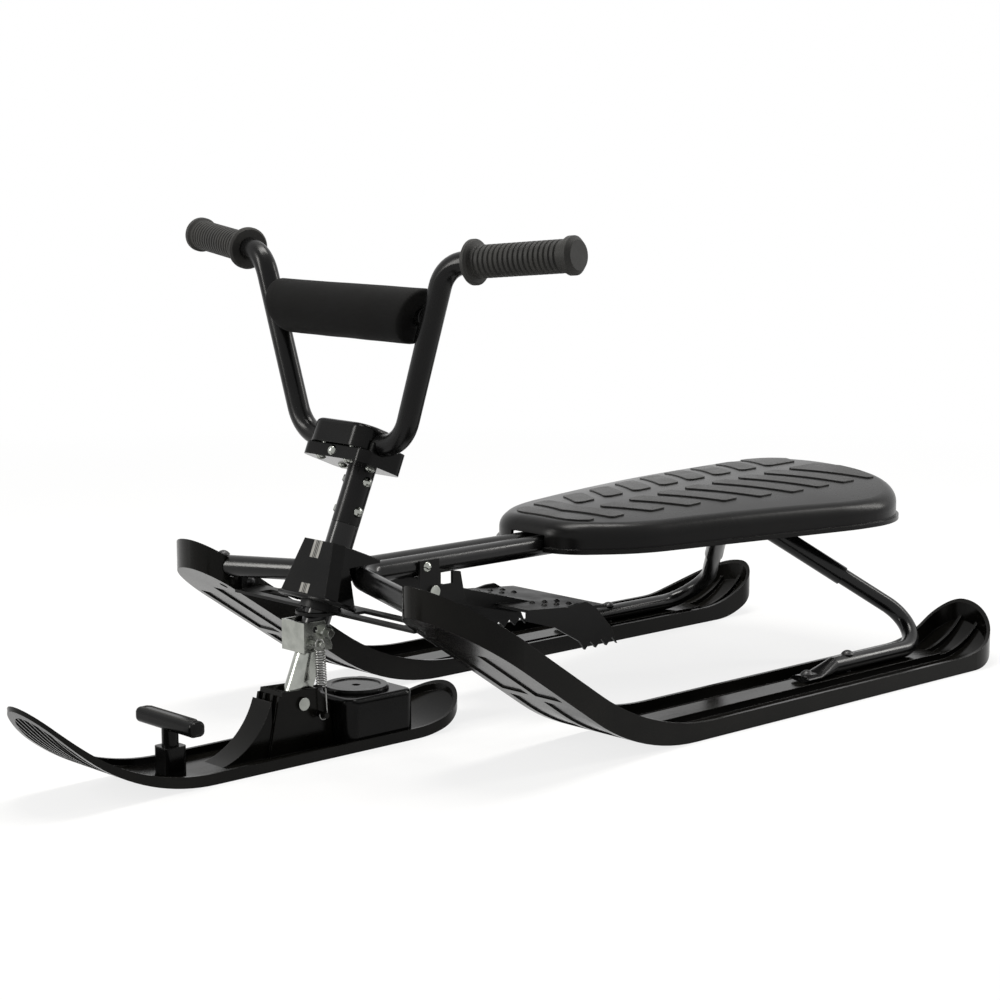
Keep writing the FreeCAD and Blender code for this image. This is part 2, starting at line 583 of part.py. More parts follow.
def make_clamp():
    # block and cap square to the steering axis, the cap's front hanging over the block as a skirt
    bar = clamp_bar()
    split = size("clamp_split") / 2
    half_y = size("clamp_half_y")
    gap = size("fit_gap")
    front = bar.x + size("clamp_front")
    tube_space = swept(bar_path(), size("bar_dia") / 2 + gap)
    tube_space.Placement = steering.inverse().multiply(tube_space.Placement)
    block = box(bar.x - size("clamp_back"), front, -half_y, half_y, size("clamp_low"), bar.z - split)
    block = block.makeFillet(size("clamp_corner"), upright_edges(block))
    foot = Vector(0, 0, size("stem_seam"))
    stem_r = size("stem_dia") / 2
    socket = rod(foot, Vector(0, 0, size("column_top") + gap), stem_r + gap)
    socket = socket.fuse(rod(foot, Vector(0, 0, size("post_high") + gap), stem_r - size("stem_wall")))
    cap_x, cap_y = size("cap_half_x"), size("cap_half_y")
    skirt_x = bar.x + size("cap_skirt_start")
    skirt_z = bar.z - size("cap_skirt")
    top = bar.z + size("cap_height")
    cap = box(bar.x - cap_x, bar.x + cap_x, -cap_y, cap_y, skirt_z, top)
    cap = cap.makeFillet(size("cap_corner"), upright_edges(cap))
    cap = cap.makeFillet(size("cap_round"), [edge for edge in cap.Edges if edge.BoundBox.ZMin > top - split])
    cap = cap.cut(box(-far, skirt_x, -far, far, -far, bar.z + split)).cut(tube_space)
    step = box(skirt_x - 2 * split, far, -far, far, skirt_z - 2 * split, far)
    base = block.cut(step).cut(tube_space).cut(socket)
    radius = size("clamp_bolt_dia") / 2
    screws = []
    for low in clamp_screw_spots():
        end = Vector(low.x, low.y, bar.z + size("clamp_screw_rise"))
        screws.append(bolt(low, end, radius))
        clear = rod(low - upward * past, end + upward * gap, radius + gap)
        base = base.cut(clear)
        cap = cap.cut(clear)
    seat = Vector(front + gap, 0, bar.z - size("clamp_bolt_drop"))
    tip = seat - Vector(size("clamp_bolt_length"), 0, 0)
    base = base.cut(rod(seat, tip - Vector(gap, 0, 0), radius + gap))
    solid("clamp_base", base, steering)
    solid("clamp_cap", cap, steering)
    solid("clamp_bolt", bolt(steering.multVec(seat), steering.multVec(tip), radius))
    solid("clamp_screws", Part.makeCompound(screws), steering)


# Frame tubes.

def rail_points():
    # centre line of a rail, from the ski nose back to the heel of its leg
    z = size("rail_z")
    return [Vector(size("nose_end_x"), size("nose_end_y"), size("nose_end_z")),
            Vector(size("rail_front_x"), size("rail_y"), z),
            Vector(size("rail_rear_x"), size("rail_y"), z),
            Vector(size("leg_heel_x"), size("leg_y"), leg_z())]


def leg_radius():
    return size("rail_dia") / 2 - size("rail_wall") - size("fit_gap")


def rib_top():
    return size("ski_floor") + size("ski_rib_height")


def leg_z():
    return rib_top() + size("fit_gap") + leg_radius()


def nose_bolt_spot():
    nose, bend = rail_points()[:2]
    return nose + (bend - nose).normalize() * size("nose_bolt_inset")


def bracket_screw_spot(left):
    return Vector(size("bracket_screw_x"), left, size("rail_z"))


def make_frame():
    points = rail_points()
    knee, heel = points[2], points[3]
    join = knee + (heel - knee) * size("leg_join_ratio")
    rail_path = rounded_path(points[:3] + [join], [size("rail_front_bend"), size("rail_rear_bend")])
    rail = bent_tube(rail_path, size("rail_dia") / 2, size("rail_wall"))
    bolt_r = size("ski_bolt_dia") / 2 + size("fit_gap")
    rail = rail.cut(hole(nose_bolt_spot(), upward, bolt_r))
    screw_r = size("bracket_screw_dia") / 2 + size("fit_gap")
    rail = rail.cut(rod(bracket_screw_spot(size("rail_y")), bracket_screw_spot(far), screw_r))

    radius = leg_radius()
    toe = Vector(size("leg_toe_x"), size("leg_y"), leg_z())
    top = join + (knee - heel).normalize() * size("leg_insert")
    leg_path = rounded_path([top, heel, toe], [size("leg_bend")])
    half_height = size("leg_flat_height") / 2
    flat = Vector(size("leg_flat_x"), size("leg_y"), rib_top() + size("fit_gap") + half_height)
    round_end = Part.Wire(Part.Circle(toe, Vector(1, 0, 0), radius).toShape())
    oval = Part.Ellipse(flat + across * (size("leg_flat_width") / 2), flat + upward * half_height, flat)
    oval_end = Part.Wire(oval.toShape())
    neck = Part.makeLoft([round_end, oval_end], True, True)
    tongue = Part.Face(oval_end).extrude(Vector(size("leg_end_x") - flat.x, 0, 0))
    leg = fused([bent_tube(leg_path, radius, size("leg_wall")), neck, tongue])
    for x in (size("ski_bolt_x"), size("toe_bolt_x")):
        leg = leg.cut(hole(Vector(x, size("leg_y"), 0), upward, bolt_r))
    for label, shape in (("rail_tube", rail), ("rear_leg", leg)):
        solid(f"{label}_left", shape)
        solid(f"{label}_right", mirrored(shape))


def make_gusset():
    # upright plate between the rails, its front edge along the back of the head tube
    head_back = "axis_foot_x - {0} * tan(steering_tilt * 1 deg) - (head_dia / 2 + fit_gap) / cos(steering_tilt * 1 deg)"
    corners = [("gusset_back_x", "gusset_low_z"), (head_back.format("gusset_low_z"), "gusset_low_z"),
               (head_back.format("gusset_top_z"), "gusset_top_z"), ("gusset_slope_x", "gusset_top_z"),
               ("gusset_back_x", "gusset_low_z + gusset_back_rise")]
    padded("head_gusset", corners, "XZ_Plane", "gusset_thick")


def ski_inner_y():
    return size("ski_y") - size("ski_width") / 2


def strap_bolt_z():
    return size("strap_top_z") + size("strap_bolt_rise")


def strap_bolt_hole(side):
    inner = ski_inner_y()
    near = Vector(size("strap_x"), side * (inner - size("strap_plate") - past), strap_bolt_z())
    end = Vector(size("strap_x"), side * (inner + size("ski_wall") + past), strap_bolt_z())
    return rod(near, end, size("strap_bolt_dia") / 2 + size("fit_gap"))


def make_strap():
    top = size("strap_top_z")
    plate = size("strap_plate")
    x = size("strap_x")
    half = size("strap_width") / 2
    end = ski_inner_y() - size("safe_gap")
    low = top - plate
    bar = box(x - half, x + half, -end, end, low, top)
    hub_s = (top - plate / 2) / math.cos(math.radians(tilt))
    hub = Part.makeCylinder(size("strap_hub_dia") / 2, plate, Vector(steer(0, 0, hub_s).x, 0, low))
    stem_r = size("stem_dia") / 2
    collar_top = size("head_low") - size("bush_flange") - size("safe_gap")
    collar = steering_rod(hub_s, collar_top, stem_r + size("strap_collar"))
    collar = collar.cut(box(-far, far, -far, far, -far, top - plate / 2))
    shape = fused([bar, hub, collar])
    shape = shape.cut(steering_rod(-far, far, stem_r + size("strap_stem_gap")))
    shape = shape.cut(steering_rod(collar_top, far, size("bush_flange_dia") / 2 + size("safe_gap")))
    slot_half = size("strap_slot_width") / 2
    slot = box(x - slot_half, x + slot_half, size("strap_slot_start"), size("strap_slot_end"), -far, far)
    tab_half = size("strap_tab_width") / 2
    tab = box(x - tab_half, x + tab_half, end - plate, end, low, low + size("strap_tab_height"))
    shape = fused([shape.cut(slot).cut(mirrored(slot)), tab, mirrored(tab)])
    radius = size("strap_bolt_dia") / 2
    gap = size("fit_gap")
    wall_y = ski_inner_y() + size("ski_wall")
    bolts = []
    nuts = []
    for side in (1, -1):
        shape = shape.cut(strap_bolt_hole(side))
        seat = Vector(x, side * (end - plate - gap), strap_bolt_z())
        bolts.append(bolt(seat, Vector(x, side * (wall_y + size("strap_bolt_reach")), seat.z), radius))
        nuts.append(nut(Vector(x, side * (wall_y + gap), seat.z), across * side, radius))
    solid("front_cross_member", shape)
    solid("strap_bolts", Part.makeCompound(bolts))
    solid("strap_nuts", Part.makeCompound(nuts))


# Ski runners: a plan outline carried through a curved band.

def long_edge(tail, nose, lift):
    # the long curve of a runner, tail to nose: tail is (bend x, radius, end x), nose adds its steepest angle
    heel_x, heel_r, tail_x = tail
    toe_x, toe_r, tip_x, steepest = nose
    tail_x -= past
    tip_x += past
    turn = math.asin(min(1, (heel_x - tail_x) / heel_r))
    start = Vector(heel_x - heel_r * math.sin(turn), 0, lift + heel_r * (1 - math.cos(turn)))
    mid = Vector(heel_x - heel_r * math.sin(turn / 2), 0, lift + heel_r * (1 - math.cos(turn / 2)))
    heel = Vector(heel_x, 0, lift)
    toe = Vector(toe_x, 0, lift)
    edges = [Part.Arc(start, mid, heel).toShape(), Part.LineSegment(heel, toe).toShape()]
    turn = math.radians(steepest)
    half = Vector(toe_x + toe_r * math.sin(turn / 2), 0, lift + toe_r * (1 - math.cos(turn / 2)))
    end = Vector(toe_x + toe_r * math.sin(turn), 0, lift + toe_r * (1 - math.cos(turn)))
    tip = Vector(tip_x, 0, end.z + (tip_x - end.x) * math.tan(turn))
    edges += [Part.Arc(toe, half, end).toShape(), Part.LineSegment(end, tip).toShape()]
    return edges, start, tip


def band(low, high, y0, y1):
    # the space between two long curves, from y0 to y1
    low_edges, low_start, low_end = low
    high_edges, high_start, high_end = high
    closing = [Part.LineSegment(low_end, high_end).toShape(), Part.LineSegment(high_start, low_start).toShape()]
    face = Part.Face(Part.Wire(Part.__sortEdges__(low_edges + closing + high_edges)))
    face.translate(Vector(0, y0, 0))
    return face.extrude(Vector(0, y1 - y0, 0))


def plan(tail_x, tip_x, y_in, y_out, corner_in, corner_out, inset):
    # outline seen from above: straight sides, and two arcs meeting at each end
    a = corner_in - inset
    b = corner_out - inset
    x0, x1 = tail_x + inset, tip_x - inset
    y0, y1 = y_in + inset, y_out - inset
    c = math.sqrt(0.5)
    apex = y0 + a
    edges = [
        Part.Arc(Vector(x1 - a, y0, 0), Vector(x1 - a + a * c, y0 + a - a * c, 0), Vector(x1, apex, 0)),
        Part.Arc(Vector(x1, apex, 0), Vector(x1 - b + b * c, y1 - b + b * c, 0), Vector(x1 - b, y1, 0)),
        Part.LineSegment(Vector(x1 - b, y1, 0), Vector(x0 + b, y1, 0)),
        Part.Arc(Vector(x0 + b, y1, 0), Vector(x0 + b - b * c, y1 - b + b * c, 0), Vector(x0, apex, 0)),
        Part.Arc(Vector(x0, apex, 0), Vector(x0 + a - a * c, y0 + a - a * c, 0), Vector(x0 + a, y0, 0)),
        Part.LineSegment(Vector(x0 + a, y0, 0), Vector(x1 - a, y0, 0))]
    return Part.Face(Part.Wire([edge.toShape() for edge in edges]))


def ski_base(lift):
    return long_edge((size("ski_heel_x"), size("ski_tail_radius"), size("ski_tail_x")),
                     (size("ski_nose_x"), size("ski_nose_radius"), size("ski_tip_x"), size("ski_nose_angle")), lift)


def ski_rim():
    return long_edge((size("rim_heel_x"), size("rim_tail_radius"), size("ski_tail_x")),
                     (size("rim_nose_x"), size("rim_nose_radius"), size("ski_tip_x"), size("ski_nose_angle")),
                     size("ski_side"))


def ski_ribs(outline):
    # a flat rib under the leg, and two thin ones that carry its edges up the tail
    floor = size("ski_floor")
    y = size("leg_y")
    half = size("ski_rib_width") / 2
    strips = [(size("ski_rib_back_x"), size("ski_rib_front_x"), y - half, y + half, size("ski_rib_height"))]
    tail_x = size("ski_tail_x") + size("ski_wall") / 2
    thin = size("tail_rib_width")
    for y0 in (y - half, y + half - thin):
        strips.append((tail_x, size("ski_rib_back_x") + past, y0, y0 + thin, size("tail_rib_height")))
    ribs = []
    for x0, x1, y0, y1, height in strips:
        slab = box(x0, x1, y0, y1, -far, far)
        ribs.append(slab.common(band(ski_base(floor / 2), ski_base(floor + height), y0, y1)).common(outline))
    return ribs


def nose_panels(y_in, y_out):
    # shallow recesses under the nose, on both sides of a middle rib and a cross rib
    margin = size("panel_margin")
    half = size("panel_rib") / 2
    middle = size("ski_y")
    cross = size("panel_cross_x")
    front = size("panel_front_x")
    skin = band(ski_base(-past), ski_base(size("panel_depth")), y_in, y_out)
    spans = [(y_in + margin, middle - half, front), (middle + half, y_out - margin, front - size("panel_outer_cut"))]
    panels = []
    for y0, y1, end in spans:
        for x0, x1 in ((size("panel_back_x"), cross - half), (cross + half, end)):
            panels.append(box(x0, x1, y0, y1, -far, far).common(skin))
    return panels


def make_rear_skis():
    y_in = ski_inner_y()
    y_out = y_in + size("ski_width")
    ends = size("ski_tail_x"), size("ski_tip_x")
    floor = size("ski_floor")
    corners = size("ski_inner_corner"), size("ski_width") - size("ski_inner_corner")
    outline = tall(plan(*ends, y_in, y_out, *corners, 0), -far, far)
    inside = tall(plan(*ends, y_in, y_out, *corners, size("ski_wall")), -far, far)
    tray = outline.common(band(ski_base(0), ski_rim(), y_in - past, y_out + past))
    well = inside.common(band(ski_base(floor), ski_base(far), y_in - past, y_out + past))
    tray = fused([tray.cut(well)] + ski_ribs(outline))
    for panel in nose_panels(y_in, y_out):
        tray = tray.cut(panel)
    nose, bend = rail_points()[:2]
    ahead = (nose - bend).normalize()
    tray = tray.cut(rod(bend, nose + ahead * size("nose_end_gap"), size("rail_dia") / 2 + size("safe_gap")))
    bolt_r = size("ski_bolt_dia") / 2 + size("fit_gap")
    for spot in [nose_bolt_spot()] + [Vector(size(x), size("leg_y"), 0) for x in ("ski_bolt_x", "toe_bolt_x")]:
        tray = tray.cut(hole(spot, upward, bolt_r))
    tray = tray.cut(strap_bolt_hole(1))
    solid("rear_ski_left", tray)
    solid("rear_ski_right", mirrored(tray))


def make_ski_bolts():
    radius = size("ski_bolt_dia") / 2
    gap = size("fit_gap")
    y = size("leg_y")
    spot = nose_bolt_spot()
    nose, bend = rail_points()[:2]
    slope = abs(nose.z - bend.z) / (nose - bend).Length
    nose_seat = spot.z + size("rail_dia") / 2 + radius * size("head_ratio") * slope + gap
    seats = [Vector(size("ski_bolt_x"), y, leg_z() + leg_radius() + gap),
             Vector(size("toe_bolt_x"), y, rib_top() + size("leg_flat_height") + 2 * gap),
             Vector(spot.x, spot.y, nose_seat)]
    tips = [size("ski_bolt_inset"), size("ski_bolt_inset"), spot.z - size("nose_bolt_drop")]
    bolts = [bolt(seat, Vector(seat.x, seat.y, tip), radius) for seat, tip in zip(seats, tips)]
    solid("ski_bolts_left", Part.makeCompound(bolts))
    solid("ski_bolts_right", Part.makeCompound([mirrored(item) for item in bolts]))


# Seat pan, its tread pads and brackets.

def seat_wide_x():
    return size("seat_rear_x") + size("seat_rear_run")


def seat_outline(grow):
    front, wide, rear = size("seat_front_x"), seat_wide_x(), size("seat_rear_x")
    nose, shoulder, side = size("seat_nose_half"), size("seat_shoulder_half"), size("seat_wide_half")
    half = [Vector(front, nose, 0), Vector(front - size("seat_shoulder_run"), shoulder, 0),
            Vector(wide, side, 0), Vector(rear, side, 0)]
    points = half + [Vector(spot.x, -spot.y, 0) for spot in half[::-1]]
    rounds = [size("seat_nose_round"), size("seat_shoulder_round"),
              size("seat_side_round"), size("seat_rear_round")]
    face = rounded_outline(points, rounds + rounds[::-1])
    return face if grow == 0 else face.makeOffset2D(grow)


def seat_barrel(lift):
    # everything under the crowned top, which curves both along and across the sled
    top = size("seat_top_z") + lift
    peak = size("seat_peak_x")
    radius = size("seat_crown_x")
    axis_z = size("seat_top_z") - size("seat_crown_y")
    reach = size("seat_front_x") - peak + past
    drop = radius - math.sqrt(radius ** 2 - reach ** 2)
    front = Vector(peak + reach, 0, top - drop)
    back = Vector(peak - reach, 0, top - drop)
    front_foot = Vector(front.x, 0, axis_z)
    back_foot = Vector(back.x, 0, axis_z)
    edges = [Part.Arc(back, Vector(peak, 0, top), front).toShape(), Part.LineSegment(front, front_foot).toShape(),
             Part.LineSegment(front_foot, back_foot).toShape(), Part.LineSegment(back_foot, back).toShape()]
    section = Part.Face(Part.Wire(edges))
    axis = Vector(1, 0, 0)
    section.rotate(front_foot, axis, 180)
    return section.revolve(front_foot, axis, 360)


def rounded_top(shape, radius, above):
    rims = [edge for edge in shape.Edges if min(v.Z for v in edge.Vertexes) > above
            and edge.BoundBox.ZLength < 0.9 * max(edge.BoundBox.XLength, edge.BoundBox.YLength)]
    return shape.makeFillet(radius, rims)


def mount_spots():
    return [(size("seat_front_mount_x"), size("seat_front_mount_y")),
            (size("seat_rear_mount_x"), size("seat_rear_mount_y"))]


def rail_top():
    return size("rail_z") + size("rail_dia") / 2


def make_seat():
    low = size("seat_low_z")
    wall = size("seat_wall")
    lip_top = low + size("seat_lip_height")
    shell = tall(seat_outline(0), low, far).common(seat_barrel(0))
    shell = rounded_top(shell, size("seat_edge_round"), lip_top)
    lip = tall(seat_outline(size("seat_lip")), low, lip_top)
    hollow = tall(seat_outline(-wall), low - past, far).common(seat_barrel(-wall))
    hollow = rounded_top(hollow, size("seat_edge_round") - wall, lip_top)
    boss_low = rail_top() + 2 * size("fit_gap") + size("mount_plate")
    under_top = seat_barrel(-wall / 2)
    bosses = []
    holes = []
    for x, y in mount_spots():
        for side in (1, -1):
            spot = Vector(x, side * y, boss_low)
            bosses.append(rod(spot, spot + upward * far, size("boss_dia") / 2).common(under_top))
            holes.append(rod(spot - upward * past, spot + upward * size("seat_screw_hole"),
                             size("seat_screw_dia") / 2 + size("fit_gap")))
    pan = fused([fused([shell, lip]).cut(hollow)] + bosses)
    for screw_hole in holes:
        pan = pan.cut(screw_hole)
    notch_gap = size("seat_notch_gap")
    notch_half = size("rail_y") + size("rail_dia") / 2 + notch_gap
    front = size("seat_front_x")
    pan = pan.cut(box(front - size("seat_notch"), far, -notch_half, notch_half, -far, rail_top() + notch_gap))
    solid("seat_pan", pan)


def tread_half(x):
    # half width of the field of pads at x
    wider = (size("tread_first_x") - x) * size("tread_widen")
    return min(size("tread_rear_half"), size("tread_first_half") + wider)


def side_tread(x_front, width):
    # one swept-back pad beside the middle groove
    slope = math.tan(math.radians(size("tread_sweep")))
    inner_y = size("tread_inner_y")
    outer_y = tread_half(x_front)
    back = (outer_y - inner_y) * slope
    points = [Vector(x_front, inner_y, 0), Vector(x_front - width, inner_y, 0),
              Vector(x_front - width - back, outer_y, 0), Vector(x_front - back, outer_y, 0)]
    return rounded_outline(points, [size("tread_round")] * len(points))


def front_tread(x_front, width):
    # one full-width chevron ahead of the side pads
    half = tread_half(x_front)
    back = half * math.tan(math.radians(size("tread_front_sweep")))
    rear = x_front - width
    points = [Vector(x_front, 0, 0), Vector(x_front - back, half, 0), Vector(rear - back, half, 0),
              Vector(rear, 0, 0), Vector(rear - back, -half, 0), Vector(x_front - back, -half, 0)]
    return rounded_outline(points, [size("tread_round")] * len(points))


def make_treads():
    first, width = size("tread_first_x"), size("tread_width")
    count = int(size("tread_count"))
    pitch = (first - size("seat_rear_x") - size("tread_rear_gap")) / count
    low = size("seat_low_z")
    crust = seat_barrel(size("tread_height")).cut(seat_barrel(size("fit_gap")))
    field = tall(seat_outline(-size("tread_inset")), low, far)
    pads = []
    for i in range(int(size("tread_front_count"))):
        x = first + (i + 1) * size("tread_front_pitch")
        pads.append(tall(front_tread(x, size("tread_front_width")), low, far))
    for i in range(count):
        long_one = width if i < count - 1 else size("tread_last_width")
        pad = tall(side_tread(first - i * pitch, long_one), low, far)
        pads += [pad, mirrored(pad)]
    solid("seat_treads", Part.makeCompound([pad.common(field).common(crust) for pad in pads]))


def make_seat_mounts():
    gap = size("fit_gap")
    plate = size("mount_plate")
    half_x = size("mount_width") / 2
    grip_y = size("rail_y") + size("rail_dia") / 2 + gap
    low = rail_top() + gap
    radius = size("seat_screw_dia") / 2
    screws = []
    for label, (x, y) in zip(("seat_bracket_front", "seat_bracket_rear"), mount_spots()):
        half_y = y + size("mount_overhang")
        body = box(x - half_x, x + half_x, -half_y, half_y, low, low + plate)
        cheek = box(x - half_x, x + half_x, grip_y, grip_y + plate, size("rail_z") - size("mount_grip"), low + plate)
        body = fused([body, cheek, mirrored(cheek)])
        for side in (1, -1):
            spot = Vector(x, side * y, low - gap)
            body = body.cut(hole(spot, upward, radius + gap))
            screws.append(bolt(spot, spot + upward * (plate + size("seat_screw_bite")), radius))
        solid(label, body)
    solid("seat_screws", Part.makeCompound(screws))


# Brake plate, its bracket, pin and return spring.

def bracket_inner_y():
    return size("rail_y") + size("rail_dia") / 2 + size("fit_gap")


def brake_pin_spot():
    return Vector(size("brake_pin_x"), 0, size("brake_pin_z"))


def make_brake_bracket():
    # a plate on the outside of each rail with a window and a rear lug, tied together over the pin
    gap = size("fit_gap")
    inner = bracket_inner_y()
    outer = inner + size("bracket_plate")
    front, back, low = size("bracket_front_x"), size("bracket_back_x"), size("bracket_low_z")
    corners = [(front, low), (front, size("bracket_top_z")), (back, size("bracket_top_z")),
               (back, size("bracket_link_z")), (size("bracket_lug_top_x"), size("bracket_lug_z")),
               (size("bracket_lug_x"), low)]
    window = box(size("window_back_x"), size("window_front_x"), -far, far, size("window_low_z"), size("window_top_z"))
    cheek = prism(corners, inner, outer)
    tie_low = size("rail_z") - size("rail_dia") / 2 - gap - size("bracket_tie")
    tie = box(front - size("bracket_tie"), front, -outer, outer, low, tie_low + size("bracket_tie"))
    shape = fused([cheek, mirrored(cheek), tie]).cut(window)
    shape = shape.cut(hole(brake_pin_spot(), across, size("brake_pin_dia") / 2 + gap / 2))
    radius = size("bracket_screw_dia") / 2
    shape = shape.cut(hole(bracket_screw_spot(0), across, radius + gap))
    solid("brake_bracket", shape)
    seat = bracket_screw_spot(outer + gap)
    screw = bolt(seat, bracket_screw_spot(inner - size("bracket_screw_bite")), radius)
    solid("bracket_screws", Part.makeCompound([screw, mirrored(screw)]))
    half = "(rail_y + rail_dia / 2 + bracket_plate + 2 * fit_gap)"
    shank = "brake_pin_dia / 2"
    head = f"{shank} * pin_head_ratio"
    turned("brake_pin", [("0", f"-{half} - pin_tip"), (shank, f"-{half} - pin_tip"), (shank, half), (head, half),
                         (head, f"{half} + pin_head"), ("0", f"{half} + pin_head")],
           Placement(brake_pin_spot(), sideways))


def brake_side_outline():
    # side flange: along the plate, over the ear, down the tail and back along the teeth
    tooth, low = size("brake_tooth"), size("brake_tooth_low_z")
    tail = size("flange_tail_x")
    corners = [(size("brake_front_x"), size("brake_front_z")), (size("brake_arm_end_x"), size("flange_mid_z")),
               (size("ear_front_x"), size("ear_top_z")), (size("ear_back_x"), size("ear_top_z")),
               (size("ear_foot_x"), size("ear_foot_z")), (size("flange_shoulder_x"), size("flange_shoulder_z")),
               (tail, low)]
    for i in range(int(size("brake_tooth_count"))):
        corners.append((tail + (2 * i + 1) * tooth, low + tooth))
        corners.append((tail + (2 * i + 2) * tooth, low))
    corners += [(size("flange_root_x"), size("flange_root_z")), (size("flange_low_x"), size("flange_low_z")),
                (size("brake_front_x"), size("flange_front_z"))]
    return corners


def brake_dimples():
    # round bosses standing a little above the plate, three along by two across on each side
    front_x, rear_x = size("brake_front_x"), size("brake_rear_x")
    slope = (size("brake_front_z") - size("brake_rear_z")) / (front_x - rear_x)
    pitch = size("dimple_pitch")
    half = size("brake_half")
    below = prism([(front_x, -far), (front_x, size("brake_front_z") - size("brake_plate")),
                   (rear_x, size("brake_rear_z") - size("brake_plate")), (rear_x, -far)], -half, half)
    dimples = []
    for i in range(3):
        for j in (1, 2):
            x = size("dimple_first_x") + i * pitch
            z = size("brake_rear_z") + slope * (x - rear_x) - size("dimple_sink")
            ball = Part.makeSphere(size("dimple_dia") / 2, Vector(x, half - j * pitch - size("brake_plate"), z))
            ball = ball.cut(below)
            dimples += [ball, mirrored(ball)]
    return dimples


def make_brake_plate():
    pin = brake_pin_spot()
    half, plate = size("brake_half"), size("brake_plate")
    front_x, front_z = size("brake_front_x"), size("brake_front_z")
    rear_x, rear_z = size("brake_rear_x"), size("brake_rear_z")
    pedal = prism([(front_x, front_z), (rear_x, rear_z), (rear_x, rear_z - plate), (front_x, front_z - plate)],
                  -half, half)
    arm_out = bracket_inner_y() - 2 * size("safe_gap")
    arm_in = arm_out - size("brake_arm_width")
    eye_r = size("brake_eye_dia") / 2
    arm = prism([(pin.x, pin.z + eye_r), (pin.x, pin.z - eye_r), (size("brake_arm_x"), size("brake_arm_z")),
                 (size("brake_arm_end_x"), size("brake_arm_end_z"))], arm_in, arm_out)
    eye = rod(pin + across * arm_in, pin + across * arm_out, eye_r)
    wing = prism(brake_side_outline(), half - plate, half)
    shape = fused([pedal, arm, mirrored(arm), eye, mirrored(eye), wing, mirrored(wing)] + brake_dimples())
    solid("brake_plate", shape.cut(hole(pin, across, size("brake_pin_dia") / 2 + size("running_gap"))))


# Front ski with its tower.

def front_base(lift):
    return long_edge((size("front_heel_x"), size("front_tail_radius"), size("front_tail_x")),
                     (size("front_nose_x"), size("front_nose_radius"), size("front_tip_x"), size("front_nose_angle")),
                     lift)


def front_rim():
    # the wall's top, which comes down to the floor towards the tip
    return long_edge((size("front_heel_x"), size("front_tail_radius"), size("front_tail_x")),
                     (size("front_nose_x"), size("front_rim_radius"), size("front_tip_x"), size("front_rim_angle")),
                     size("front_side"))


def tower_inner():
    return size("strut_radius") + size("tower_gap")


def make_tower():
    # two cheeks and a ribbed front round the strut, with a fairing ahead and a spring stay
    inner = tower_inner()
    wall = size("tower_wall")
    outer = inner + wall
    front, top_front, top_z = size("tower_front_x"), size("tower_top_front_x"), size("tower_top_z")
    back = size("tower_back_x")
    foot = size("front_floor") / 2
    cheek = prism([(front, foot), (top_front, top_z),
                   (back + size("tower_shoulder"), top_z - size("tower_shoulder_drop")),
                   (back, top_z - size("tower_back_drop")), (back - size("tower_foot_run"), foot)], inner, outer)
    face = prism([(front, foot), (top_front, top_z), (top_front - wall, top_z), (front - wall, foot)], -inner, inner)
    deep, half_rib = size("tower_rib_depth"), size("tower_rib") / 2
    rib_top_z = top_z - deep
    corners = [(front + deep, foot), (top_front + deep, rib_top_z), (top_front - half_rib, rib_top_z),
               (front - half_rib, foot)]
    edge_y = outer - half_rib
    ribs = [prism(corners, y - half_rib, y + half_rib) for y in (-edge_y, -size("tower_rib_y"), size("tower_rib_y"), edge_y)]
    fair = size("fairing_half")
    toe = Vector(size("fairing_front_x"), -fair, foot)
    crest = Vector(front - half_rib, -fair, size("fairing_top_z"))
    heel = Vector(front - wall / 2, -fair, foot)
    sweep = Part.Arc(toe, Vector(size("fairing_mid_x"), -fair, size("fairing_mid_z")), crest)
    sides = [sweep.toShape(), Part.makeLine(crest, heel), Part.makeLine(heel, toe)]
    fairing = Part.Face(Part.Wire(sides)).extrude(across * (2 * fair))
    fairing = fairing.cut(box(-far, far, -inner, inner, -far, far).common(prism([
        (front - wall, foot), (top_front - wall, top_z), (-far, top_z), (-far, foot)], -inner, inner)))
    stay_at = Vector(size("stay_x"), outer, size("stay_z"))
    stay = rod(stay_at - across * (wall / 2), stay_at + across * size("stay_reach"), size("stay_dia") / 2)
    return [cheek, mirrored(cheek), face, fairing, stay] + ribs


def make_front_ski():
    half = size("front_half")
    floor = size("front_floor")
    ends = size("front_tail_x"), size("front_tip_x")
    outline = tall(plan(*ends, -half, half, half, half, 0), -far, far)
    inside = tall(plan(*ends, -half, half, half, half, size("front_wall")), -far, far)
    tray = outline.common(band(front_base(0), front_rim(), -half - past, half + past))
    tray = tray.cut(inside.common(band(front_base(floor), front_base(far), -half - past, half + past)))
    shape = fused([tray] + make_tower())
    pivot = steer(0, 0, size("pivot_s"))
    shape = shape.cut(hole(pivot, across, size("pivot_dia") / 2 + size("fit_gap") / 2))
    skin = band(front_base(-past), front_base(size("front_groove_depth")), -half, half)
    margin, rib = size("front_groove_margin"), size("front_groove_rib")
    skin = skin.common(tall(plan(*ends, -half, half, half, half, margin), -far, far))
    count = int(size("front_groove_count"))
    pitch = 2 * (half - margin) / count
    for i in range(count):
        y = margin - half + i * pitch
        groove = box(size("front_groove_back_x"), far, y + rib / 2, y + pitch - rib / 2, -far, far)
        shape = shape.cut(groove.common(skin))
    solid("front_ski", shape)
    end = "(strut_radius + tower_gap + tower_wall + fit_gap)"
    shank = "pivot_dia / 2"
    head = f"{shank} * pin_head_ratio"
    turned("pivot_pin", [("0", f"-{end} - pin_tip"), (shank, f"-{end} - pin_tip"), (shank, end), (head, end),
                         (head, f"{end} + pin_head"), ("0", f"{end} + pin_head")], Placement(pivot, sideways))


# Tow reel housing, drum and axle, and the tow handle.

